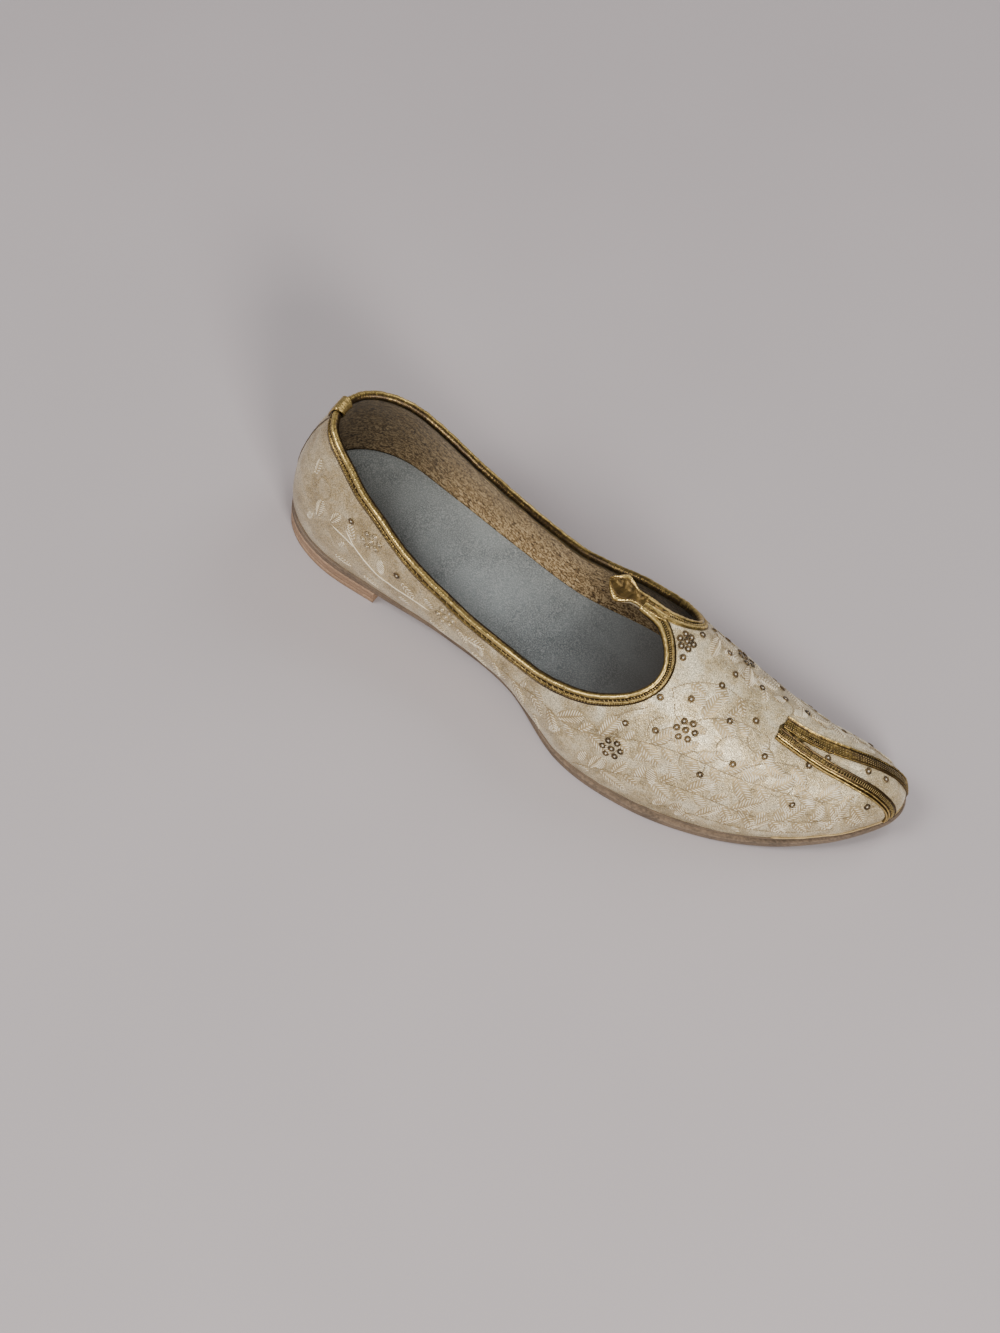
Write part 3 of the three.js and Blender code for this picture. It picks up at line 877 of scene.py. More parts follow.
@dataclass(frozen=True)
class Suede:
    """Grey-green suede, with painted shade that darkens it towards the toe."""

    def material(self) -> bpy.types.Material:
        """Builds the finish."""
        b = Bench("grey_suede")
        solid = b.space("Object")
        nap = b.noise(solid, 1900, 3)
        cloud = b.noise(solid, 45, 3, 0.5)
        base = b.ramp(cloud, [(0.35, (0.102, 0.120, 0.124)), (0.62, (0.168, 0.194, 0.199))])
        specked = b.mix(b.span(nap, 0.42, 0.66, (0.0, 0.75)), base, (0.35, 0.365, 0.365))
        # painted shade: towards the toe the suede is mixed with a dark brown-grey
        b.colour(b.mix(b.span(b.forward(), -0.015, 0.03, (0.0, 0.88)), specked, (0.062, 0.056, 0.050)))
        b.roughness(nap, 0.75, 0.92)
        b.bump(nap, 0.12, 0.6)
        b.set(Sheen_Weight=0.35, Sheen_Roughness=0.5)
        return b.material


@dataclass(frozen=True)
class Leather:
    """Cut leather whose layers show at the edge; rise is 0 underneath and 1 on top."""

    name: str
    dark: Colour
    light: Colour
    layers: float

    def material(self) -> bpy.types.Material:
        """Builds the finish."""
        b = Bench(self.name)
        solid = b.space("Object")
        grain = b.noise(b.space("Object", (1.0, 1.0, 3.0)), 900, 4)
        cloud = b.noise(solid, 70, 3, 0.5)
        lines = b.sum("SINE", b.sum("MULTIPLY", b.attribute("rise"), self.layers * 2 * math.pi), 0.0)
        tone = b.sum("ADD", b.sum("MULTIPLY", grain, 0.6), b.sum("MULTIPLY", cloud, 0.4))
        base = b.ramp(tone, [(0.36, self.dark), (0.62, self.light)])
        b.colour(b.mix(b.span(lines, 0.7, 1.0, (0.0, 0.45)), base, self.dark))
        b.roughness(grain, 0.5, 0.72)
        b.bump(grain, 0.15, 0.7)
        b.bump(lines, -0.08, 0.5)
        return b.material


@dataclass(frozen=True)
class Floor:
    """Plain pale floor."""

    def material(self) -> bpy.types.Material:
        """Builds the finish."""
        b = Bench("pale_floor")
        cloud = b.noise(b.space("Object"), 6, 2)
        b.colour(b.ramp(cloud, [(0.3, (0.425, 0.387, 0.396)), (0.7, (0.446, 0.406, 0.415))]))
        b.set(Roughness=0.7)
        return b.material


# ---------------------------------------------------------------------------
# Upper.
# ---------------------------------------------------------------------------


@dataclass
class Upper:
    """The brocade upper and its lining: one hollow shell, open at the collar and underneath."""

    wall: float = 1.3
    lining: float = 0.65
    rows: int = 44
    finer: int = 4
    fan: tuple[tuple[float, float, int], ...] = (
        (6, 100, 4),
        (7, 117, 5),
        (8.2, 142, 7),
        (8.7, 180, 7),
        (9.1, 270, 8),
        (10, 312, 5),
        (11, 337, 4),
        (12, 350, 4),
        (13, 355, 2),
        (14, 358.5, 2),
        (15, 361, 2),
    )
    quarter_ribs: int = 17

    FAN_ROW = 5  # collar row from which the ribs fan out round the vamp

    # The ribs' feet are counted in degrees along the feather line to the toe, up the nose, and then
    # back along the ridge, where the turn is RIDGE_BASE less the base.
    TOE_BASE = 180
    NOSE_BASE = 270
    RIDGE_BASE = 450

    def ribs(self) -> tuple[Array, Array, Array, Array]:
        """Base turn, base climb, edge turn and edge climb of each rib of one side."""
        first = np.degrees(LAST.turn_of(COLLAR[self.FAN_ROW][0]))
        tongue = self.RIDGE_BASE - np.degrees(LAST.turn_of(COLLAR[-1][0]))
        edges = [np.linspace(0, self.FAN_ROW, self.quarter_ribs * self.finer + 1)]
        bases = [np.degrees(LAST.collar(edges[0])[0])]
        before = (float(self.FAN_ROW), float(first))
        for edge, base, count in (*self.fan, (LAST_ROW, float(tongue), 2)):
            share = np.arange(1, count * self.finer + 1) / (count * self.finer)
            edges.append(before[0] + (edge - before[0]) * share)
            bases.append(before[1] + (base - before[1]) * share)
            before = (edge, base)
        edge, base = np.concatenate(edges), np.concatenate(bases)
        toe, nose = base > self.TOE_BASE, base > self.NOSE_BASE
        turn0 = np.where(nose, self.RIDGE_BASE - base, np.where(toe, self.TOE_BASE, base))
        climb0 = np.where(nose, 90, np.where(toe, base - self.TOE_BASE, 0))
        turn1, climb1 = LAST.collar(edge)
        return radians(turn0), radians(climb0), turn1, climb1

    def sheet(self, name: str, height: float) -> bpy.types.Object:
        """Both sides of a skin at a height in mm over the last, joined along the ridge and the heel."""
        turn0, climb0, turn1, climb1 = self.ribs()
        s = np.linspace(0, 1, self.rows + 1)
        turn = turn0[:, None] + (turn1 - turn0)[:, None] * s
        climb = climb0[:, None] + (climb1 - climb0)[:, None] * s
        sides = [LAST.skin(side.value * turn, climb, height) for side in Side]
        shared = np.zeros(turn.shape, bool)
        shared[0] = shared[-1] = True
        shared[:, 0] |= turn0 >= math.pi - 1e-6
        shared[:, 0] |= climb0 > 0
        middle = (sides[0] + sides[1]) / 2
        pieces = []
        for side, points in zip(Side, sides):
            points = np.where(shared[..., None], middle, points)
            uv = LAST.cloth_uv(side.value * turn, climb)
            if side is Side.OUTER:
                points, uv = points[::-1], uv[::-1]
            pieces.append(lay(f"{name}_{side.name.lower()}", points, uv))
        skin = join(name, pieces)
        weld(skin, outwards=False)
        return skin

    def build(self) -> None:
        """Models and dresses the brocade and the lining."""
        brocade = self.sheet("upper_brocade", 0.0)
        thicken(brocade, self.wall)
        soften(brocade, 50)
        finish_piece(brocade, Brocade().material(), "brocade", "upper")
        lining = self.sheet("upper_lining", -self.wall - 0.05)
        thicken(lining, self.lining)
        soften(lining, 50)
        finish_piece(lining, Lining().material(), "insole_suede")


# ---------------------------------------------------------------------------
# Embroidery.
# ---------------------------------------------------------------------------

# Each vine's places, as stations in mm and climbs in degrees. Both sides of the shoe carry them all.
VINES = (
    ((150, 21), (168, 24), (184, 33), (200, 40), (216, 44), (234, 45), (252, 46), (270, 44), (285, 38)),
    ((196, 45), (205, 56), (214, 66), (226, 74), (236, 77)),
    ((172, 6), (190, 16), (208, 24), (228, 26), (248, 23), (266, 24), (282, 28)),
    ((189, 60), (196, 71), (204, 79), (214, 85), (226, 87)),
    ((234, 46), (240, 56), (249, 64), (260, 68)),
    ((100, 15), (114, 16), (132, 14), (150, 21)),
    ((208, 7), (226, 12), (244, 11), (262, 12), (276, 15)),
    ((184, 33), (180, 42), (188, 52)),
)

# Long stems of the quarters, as plain cords, in the same form.
STEMS = (
    ((40, 22.5), (44, 20), (48, 17.5), (57.5, 13.5), (63.5, 12), (70.5, 12), (79, 12.5), (90, 13.5)),
    ((33, 19.5), (38, 19), (43, 18.5), (48, 17.5)),
)

LEAF_PITCH = 10.5  # mm between leaves on the same side of a vine
VINE_STEP = 1.2  # mm between the places of a vine or a curl
INNER_BEND = 0.93  # the vines of the inner side stand a little lower

# What the leaves keep clear of: the collar edge and the strips in mm, the feather line in degrees, and
# in front of THROAT mm the collar edge no longer bounds them from above.
OFF_COLLAR = 6.2
OFF_STRIP = 3.6
OFF_SOLE = 1.5
THROAT = 178

# Curls of the vines: station in mm, climb in degrees, radius in mm and where the curl starts in degrees.
CURLS = (
    (188, 60, 6.5, 20), (205, 64, 7.5, 200), (199, 46, 7.0, 120), (215, 41, 7.5, 300), (228, 57, 7.0, 60),
    (240, 72, 6.0, 180), (183, 28, 6.0, 90), (254, 53, 6.5, 250), (52, 27, 6.0, 140), (97, 17, 4.5, 30),
    (244, 34, 6.5, 10), (268, 40, 5.5, 200), (20, 30, 6.0, 300),
)

# Fern leaves of the quarters that stand alone: station in mm, climb and heading in degrees, length in mm.
FERN_LEAVES = (
    (46, 20.5, 125, 8.5), (25, 17, 92, 11.0), (32, 20, 72, 9.0), (38, 6, 5, 8.5), (73, 17.5, -32, 9.0),
    (54, 6, -8, 8.0), (108, 14, 18, 10.0), (112, 8, -12, 9.0), (148, 10, -45, 8.0), (14, 30, 100, 9.0),
    (90, 8, -5, 8.5),
)

# Satin leaves that stand alone, in the same form.
SATIN_LEAVES = (
    (221, 75, -50, 7.5), (223, 38, -40, 9.0), (247, 60, 130, 8.5), (262, 50, -35, 9.0),
    (209, 69, 160, 7.5), (186, 61, 40, 7.0), (231, 15, 65, 8.5), (242, 20, 70, 9.0),
    (255, 24, 60, 9.0), (219, 6, 70, 7.0), (209, 8, 60, 7.5), (270, 26, 80, 8.5), (182, 13, 75, 7.5),
    (174, 11, 80, 7.0), (278, 46, 130, 7.0), (216, 47, 20, 7.5), (194, 30, 30, 8.0), (205, 20, 110, 8.5),
    (40, 13, 60, 4.8), (62.5, 14, 98, 8.0), (86, 18, -35, 5.5), (157, 14, 50, 7.0),
    (74, 8.5, -10, 5.5), (126, 10.5, 0, 5.5), (145, 22, -20, 6.0), (20, 12, 60, 6.0),
    (238, 45, 80, 8.0), (214, 30, 140, 8.0),
)

# Station in mm and climb in degrees of the single ring sequins of the outer side.
RINGS = (
    (190, 59), (202, 67.5), (183.5, 40.5), (196, 45.5), (211, 84), (222.5, 71.5), (234, 81.5),
    (231.7, 51.5), (243.4, 64.5), (221, 38), (260, 38.5), (286.5, 36.5), (188, 80), (40, 27.5),
    (70.3, 19), (264.8, 72.5), (276, 88.5),
)

# Station, climb and radius in mm of the ring flowers of the outer side.
FLOWERS = ((184.6, 87.5, 3.1), (207, 54, 3.9), (184, 27, 3.9), (97.5, 16.5, 3.9), (52.6, 25, 3.9))

# The same for the inner side.
INNER_RINGS = (
    (192, 58), (204, 70), (186, 38), (198, 47), (213, 83), (226, 72), (236, 62), (230, 50), (272.8, 83.5),
    (247, 58), (223, 36), (262, 44), (272, 30), (189, 79), (38, 27), (72, 20), (292.6, 79), (294.2, 61),
)
INNER_FLOWERS = ((210, 55, 3.9), (182, 24, 3.9), (95, 15, 3.9), (54, 24, 3.9), (240, 28, 3.9))


class LeafKind(Enum):
    """How a leaf is stitched: slanting barbs from a midrib, or satin stitches right across."""

    FERN = "fern_leaves"
    SATIN = "satin_leaves"


@dataclass(frozen=True)
class Leaf:
    """One embroidered leaf: its root, its heading in radians, its length in mm and its kind."""

    turn: float
    climb: float
    heading: float
    length: float
    kind: LeafKind

    def half(self, share: Array) -> Array:
        """Half the width in mm at shares of the length."""
        plump = 0.31 if self.kind is LeafKind.SATIN else 0.25
        return plump * self.length * np.sin(np.pi * np.clip(share * 0.9 + 0.07, 0, 1)) ** 0.75

    def headed(self, steps: Array) -> Array:
        """Steps along and across the leaf as steps towards the toe and up the section."""
        c, s = math.cos(self.heading), math.sin(self.heading)
        return steps @ np.array([[c, s], [-s, c]])

    def threads(self) -> tuple[Array, Array]:
        """Starts and ends of the stitches, as steps in mm from the root."""
        pitch = 1.05 if self.kind is LeafKind.SATIN else 1.3
        count = int(self.length / pitch)
        share = (np.arange(count) + 0.5) / count
        half = self.half(share)
        along = share * self.length
        if self.kind is LeafKind.SATIN:
            starts = np.stack([along - 0.5 * half, -half], 1)
            ends = np.stack([along + 0.5 * half, half], 1)
        else:
            barbs = ((along, 1), (along + 0.4, -1))
            starts = np.concatenate([np.stack([x, np.full(count, way * 0.2)], 1) for x, way in barbs])
            ends = np.concatenate([np.stack([x + 0.7 * half, way * half], 1) for x, way in barbs])
        return self.headed(starts), self.headed(ends)

    def bed(self, rows: int, lanes: int) -> tuple[Array, Array]:
        """Steps from the root to a grid over the leaf, and the height of its padding in mm."""
        share, across = np.meshgrid(np.linspace(-0.03, 1.06, rows), np.linspace(-1, 1, lanes), indexing="ij")
        steps = np.stack([share * self.length, across * (self.half(share) + 0.35)], -1)
        swell = np.sin(np.pi * np.linspace(0, 1, rows))[:, None] ** 0.5
        return self.headed(steps.reshape(-1, 2)), (0.30 * (1 - across**2) * swell - 0.04).ravel()


@dataclass
class Embroidery:
    """Vines with fern leaves, satin leaves and ring sequins, laid on the brocade."""

    stitch_width: float = 0.62
    stitch_height: float = 0.42
    stem: float = 0.5
    leaf: float = 13.0
    ring: float = 2.9
    petals: int = 6
    quarter_end: float = 130.0
    bed_rows: int = 9
    bed_lanes: int = 6

    def tangents(self, turn: Array, climb: Array) -> tuple[Array, Array, Array]:
        """Unit directions towards the toe, up the section and outwards, at places."""
        along, up, normal = LAST.slopes(turn, climb)
        forward = unit(along) * np.sign(turn + 1e-9)[..., None]
        rising = unit(up - forward * (up * forward).sum(-1, keepdims=True))
        return forward, rising, normal

    def vine_places(self, side: Side, vines: tuple = VINES) -> list[tuple[Array, Array]]:
        """Turns and climbs along each vine of a side, about 1.2 mm apart."""
        found = []
        for vine in vines:
            rows = np.array(vine, float)
            knots = np.arange(len(rows), dtype=float)
            at = np.linspace(0, len(rows) - 1, 600)
            bend = 1.0 if side is Side.OUTER else INNER_BEND
            turn = side.value * LAST.turn_of(smooth(knots, rows[:, 0], at))
            climb = radians(smooth(knots, rows[:, 1], at) * bend)
            points = LAST.surface(turn, climb)
            run = run_along(points)
            even = np.linspace(0, run[-1], max(4, int(run[-1] / (VINE_STEP * MM))))
            found.append((np.interp(even, run, turn), np.interp(even, run, climb)))
        return found

    def curl_places(self, side: Side) -> list[tuple[Array, Array]]:
        """Turns and climbs along each curl of a side, about 1.2 mm apart."""
        found = []
        for station, climb, radius, start in CURLS:
            sweep = 1.5 * math.pi
            angles = math.radians(start) + np.linspace(0, sweep, int(sweep * radius / VINE_STEP))
            winding = radius * np.linspace(1.0, 0.55, len(angles))
            steps = np.stack([np.cos(angles), np.sin(angles)], 1) * winding[:, None]
            turn = side.value * float(LAST.turn_of(station))
            found.append(self.offset(turn, math.radians(climb), steps))
        return found

    def offset(self, turn: Array | float, climb: Array | float, steps: Array) -> tuple[Array, Array]:
        """Places at steps in mm (towards the toe, up the section) from one place, or each from its own."""
        turns = np.broadcast_to(np.asarray(turn, float), len(steps))
        climbs = np.broadcast_to(np.asarray(climb, float), len(steps))
        forward, rising, _ = self.tangents(turns, climbs)
        step = (forward * steps[:, :1] + rising * steps[:, 1:]) * MM
        return LAST.walk(turns, climbs, step)

    def vine_leaves(self, side: Side) -> list[Leaf]:
        """The fern leaves that stand on a side's vines."""
        found = []
        step = LEAF_PITCH / VINE_STEP
        for index, (turn, climb) in enumerate(self.vine_places(side)):
            forward, rising, _ = self.tangents(turn, climb)
            travel = np.gradient(LAST.surface(turn, climb), axis=0)
            heading = np.arctan2((travel * rising).sum(-1), (travel * forward).sum(-1))
            for count, at in enumerate(np.arange(3, len(turn) - 1, step / 2).astype(int)):
                lean = math.radians(46) * (1 if count % 2 else -1)
                size = self.leaf * (0.80 + 0.22 * math.sin(index * 2.3 + count * 1.7))
                kind = LeafKind.SATIN if (count + index) % 5 == 2 else LeafKind.FERN
                length = size * (0.62 if kind is LeafKind.SATIN else 1.0)
                found.append(Leaf(turn[at], climb[at], heading[at] + lean, length, kind))
        return found

    def lone_leaves(self, side: Side) -> list[Leaf]:
        """The leaves that stand alone on a side."""
        found = []
        for kind, leaves in ((LeafKind.SATIN, SATIN_LEAVES), (LeafKind.FERN, FERN_LEAVES)):
            for station, climb, way, length in leaves:
                turn = side.value * float(LAST.turn_of(station))
                found.append(Leaf(turn, math.radians(climb), math.radians(way), length, kind))
        return found

    def open_leaves(self, side: Side) -> list[Leaf]:
        """The leaves of a side that lie whole on the open brocade."""
        found = []
        for leaf in (*self.vine_leaves(side), *self.lone_leaves(side)):
            turn, climb = self.offset(leaf.turn, leaf.climb, leaf.bed(5, 3)[0])
            if self.clear(turn, climb).all() and (np.abs(climb) < math.radians(89)).all():
                found.append(leaf)
        return found

    def clear(self, turn: Array, climb: Array) -> Array:
        """Whether places lie on the open brocade, off the binding, the strips and the sole."""
        hand = np.sign(np.mean(turn) + 1e-9)
        edge_turn, edge_climb = LAST.collar(np.linspace(0, LAST_ROW, 161))
        collar = LAST.surface(edge_turn * hand, edge_climb)
        points = LAST.surface(turn, climb)
        gap = np.linalg.norm(points[:, None] - collar[None], axis=-1).min(1)
        rows = np.array(STRIP, float)
        knots = np.arange(len(rows))
        at = np.linspace(0, len(rows) - 1, 80)
        strip_turn = radians(smooth(knots, rows[:, 0], at)) * hand
        strip = LAST.surface(strip_turn, radians(smooth(knots, rows[:, 1], at)))
        near = np.linalg.norm(points[:, None] - strip[None], axis=-1).min(1)
        under = np.interp(np.abs(turn), *self.edge_line())
        inside = (LAST.station_of(turn) < THROAT) & (np.degrees(climb) > under)
        apart = (gap > OFF_COLLAR * MM) & (near > OFF_STRIP * MM)
        return apart & ~inside & (climb > math.radians(OFF_SOLE))

    def edge_line(self) -> tuple[Array, Array]:
        """Turns and climbs in degrees of the collar along the quarter."""
        edge = np.linspace(0, 8, 81)
        turn, climb = LAST.collar(edge)
        return turn, np.degrees(climb)

    def build_beds(self, side: Side, leaves: list[Leaf]) -> bpy.types.Object:
        """Padded satin beds under the leaves of a side, coloured dark khaki as painted shade between the
        stitches.
        """
        beds = [leaf.bed(self.bed_rows, self.bed_lanes) for leaf in leaves]
        count = self.bed_rows * self.bed_lanes
        turn = np.repeat([leaf.turn for leaf in leaves], count)
        climb = np.repeat([leaf.climb for leaf in leaves], count)
        place = self.offset(turn, climb, np.concatenate([steps for steps, _ in beds]))
        points = LAST.skin(*place, np.concatenate([height for _, height in beds]))
        mesh = bpy.data.meshes.new("leaf_beds")
        order = -1 if side is Side.INNER else 1
        faces = []
        for n in range(len(leaves)):
            for i in range(self.bed_rows - 1):
                for j in range(self.bed_lanes - 1):
                    a = n * count + i * self.bed_lanes + j
                    faces.append((a, a + self.bed_lanes, a + self.bed_lanes + 1, a + 1)[::order])
        mesh.from_pydata(points.tolist(), [], faces)
        mesh.update()
        piece = bpy.data.objects.new("leaf_beds", mesh)
        bpy.context.scene.collection.objects.link(piece)
        pick(piece)
        bpy.ops.object.shade_smooth()
        return piece

    def build_leaves(self) -> None:
        """Leaf beds, fern stitches and satin stitches."""
        sides = {side: self.open_leaves(side) for side in Side}
        beds = join("leaf_beds", [self.build_beds(side, leaves) for side, leaves in sides.items()])
        # painted shade: the beds' dark khaki shows between the stitches as the shade there
        stitch_gap_shade = Thread("bed_silk_gap_shade", (0.27, 0.19, 0.085), (0.51, 0.39, 0.205), 0.32, 0.4)
        finish_piece(beds, stitch_gap_shade.material(), "brocade")
        silks = {
            LeafKind.FERN: Thread("ivory_silk", (0.58, 0.47, 0.29), (0.90, 0.81, 0.62), 0.30, 0.15),
            LeafKind.SATIN: Thread("white_silk", (0.60, 0.51, 0.34), (0.90, 0.83, 0.67), 0.30, 0.1),
        }
        for kind, silk in silks.items():
            leaves = [leaf for found in sides.values() for leaf in found if leaf.kind is kind]
            threads = [leaf.threads() for leaf in leaves]
            counts = [len(start) for start, _ in threads]
            turn = np.repeat([leaf.turn for leaf in leaves], counts)
            climb = np.repeat([leaf.climb for leaf in leaves], counts)
            low = self.offset(turn, climb, np.concatenate([start for start, _ in threads]))
            high = self.offset(turn, climb, np.concatenate([end for _, end in threads]))
            rooted = 0.28 if kind is LeafKind.FERN else 0.06
            piece = stitches(kind.value, LAST.skin(*low, rooted), LAST.skin(*high, 0.08),
                             LAST.slopes(*low)[2], self.stitch_width, self.stitch_height)
            finish_piece(piece, silk.material(), "brocade")

    def build_vines(self) -> None:
        """Stems and curls of back stitches."""
        starts, ends, normals = [], [], []
        for side in Side:
            for turn, climb in (*self.vine_places(side), *self.curl_places(side)):
                path = LAST.skin(turn, climb, 0.12)
                keep = self.clear(turn, climb)
                keep = keep[:-1] & keep[1:]
                starts.append(path[:-1][keep])
                ends.append((path[:-1] + (path[1:] - path[:-1]) * 0.9)[keep])
                normals.append(LAST.slopes(turn, climb)[2][:-1][keep])
        piece = stitches("vine_stems", np.concatenate(starts), np.concatenate(ends),
                         np.concatenate(normals), self.stem, self.stem * 0.8)
        # the stitches' dark gold is partly the thread's own colour and partly painted shade round the
        # embossed curls
        silk = Thread("gold_cord", (0.13, 0.088, 0.038), (0.46, 0.35, 0.19), 0.36, 0.2)
        finish_piece(piece, silk.material(), "brocade")
        cords = []
        for side in Side:
            for index, (turn, climb) in enumerate(self.vine_places(side, STEMS)):
                normal = LAST.slopes(turn, climb)[2]
                cords.append(tube(f"stem_{index}", LAST.skin(turn, climb, 0.1), normal, 0.6, 0.5))
        pale = Thread("pale_cord", (0.60, 0.50, 0.33), (0.90, 0.82, 0.65), 0.34, 0.15)
        finish_piece(join("quarter_stems", cords), pale.material(), "brocade")

    def ring_places(self) -> list[tuple[float, float, float]]:
        """Turn and climb of every ring sequin, single or in a flower, and 1 for the pale ones."""
        found = []
        for side, rings, flowers in (
            (Side.OUTER, RINGS, FLOWERS), (Side.INNER, INNER_RINGS, INNER_FLOWERS)
        ):
            for station, climb in rings:
                found.append((side.value * float(LAST.turn_of(station)), math.radians(climb), 0.0))
            for station, climb, radius in flowers:
                turn = side.value * float(LAST.turn_of(station))
                angles = np.arange(self.petals) * 2 * math.pi / self.petals + 0.3
                steps = np.stack([np.cos(angles), np.sin(angles)], 1) * radius
                around = self.offset(turn, math.radians(climb), np.vstack([[0, 0], steps]))
                over = around[1] > math.pi / 2
                folded = np.where(over, -around[0], around[0]), np.where(over, math.pi - around[1], around[1])
                found.extend(zip(*folded, [float(station < self.quarter_end)] * (self.petals + 1)))
        return found

    def build_rings(self) -> None:
        """Ring sequins, pale in the flowers of the quarters, each with the knot that holds it."""
        places = np.array(self.ring_places())
        turn, climb = places[:, 0], places[:, 1]
        forward, _, normal = self.tangents(turn, climb)
        origin = LAST.skin(turn, climb, 0.3)
        wobble = 0.12 * np.sin(np.arange(len(turn)) * 2.7)[:, None]
        tilted = unit(normal + forward * wobble)
        across = unit(np.cross(tilted, forward))
        size = self.ring * MM
        axes = np.stack([np.cross(across, tilted) * size, across * size, tilted * size * 0.75], 1)
        quarter = places[:, 2] > 0.5
        bronze = Thread("antique_gold", (0.020, 0.013, 0.006), (0.17, 0.11, 0.045), 0.24, 0.85)
        pale = Thread("pale_gold", (0.16, 0.11, 0.05), (0.62, 0.50, 0.30), 0.24, 0.7)
        for name, chosen, metal in (("ring_sequins", ~quarter, bronze), ("quarter_sequins", quarter, pale)):
            rings = scatter(name, Pattern.RING, origin[chosen], axes[chosen])
            finish_piece(rings, metal.material(), "gold_trim")
        knots = scatter("sequin_knots", Pattern.CUP, origin - normal * 0.15 * MM, axes * 0.34)
        silk = Thread("knot_silk", (0.62, 0.52, 0.36), (0.90, 0.82, 0.66), 0.45)
        finish_piece(knots, silk.material(), "brocade")

    def build(self) -> None:
        """Models and dresses the embroidery."""
        self.build_leaves()
        self.build_vines()
        self.build_rings()


# ---------------------------------------------------------------------------
# Gold trim.
# ---------------------------------------------------------------------------


def folded_rings(edge: Array, profile: Array) -> tuple[Array, Array]:
    """Sections folded over the collar edge.

    Args:
        edge: Signed collar rows, in the order that the sweep runs.
        profile: Section as (distance into the surface, height, rise) rows in mm, or one for each edge.

    Returns:
        The rings of points, and how far along the collar each one is, in metres.
    """
    if profile.ndim == 2:
        profile = np.broadcast_to(profile, (len(edge), *profile.shape))
    turn, climb = LAST.collar(edge)
    ahead, behind = LAST.collar(edge + ROW_STEP), LAST.collar(edge - ROW_STEP)
    travel = unit(LAST.surface(*ahead) - LAST.surface(*behind))
    normal = LAST.slopes(turn, climb)[2]
    into = unit(np.cross(travel, normal))
    distance, height = profile[..., 0], profile[..., 1]
    turns = np.broadcast_to(turn[:, None], distance.shape)
    climbs = np.broadcast_to(climb[:, None], distance.shape)
    far = np.maximum(distance, 0)
    stepped = LAST.walk(turns, climbs, into[:, None] * far[..., None] * MM)
    over = np.minimum(distance, 0)
    facing = LAST.slopes(*stepped)[2]
    points = LAST.surface(*stepped)
    lift = LAST.relief(points) + height * MM
    rings = points + facing * lift[..., None] + into[:, None] * over[..., None] * MM
    return rings, run_along(LAST.surface(turn, climb))


def rounded(section: tuple[tuple[float, float, float], ...], count: int) -> Array:
    """A closed section's corners as a smooth ring of points, with their rise."""
    rows = np.array(section, float)
    wrapped = np.vstack([rows[-2:], rows, rows[:3]])
    knots = np.arange(len(wrapped), dtype=float) - 2
    at = np.linspace(0, len(rows), count, endpoint=False)
    return np.stack([smooth(knots, wrapped[:, k], at) for k in range(3)], -1)


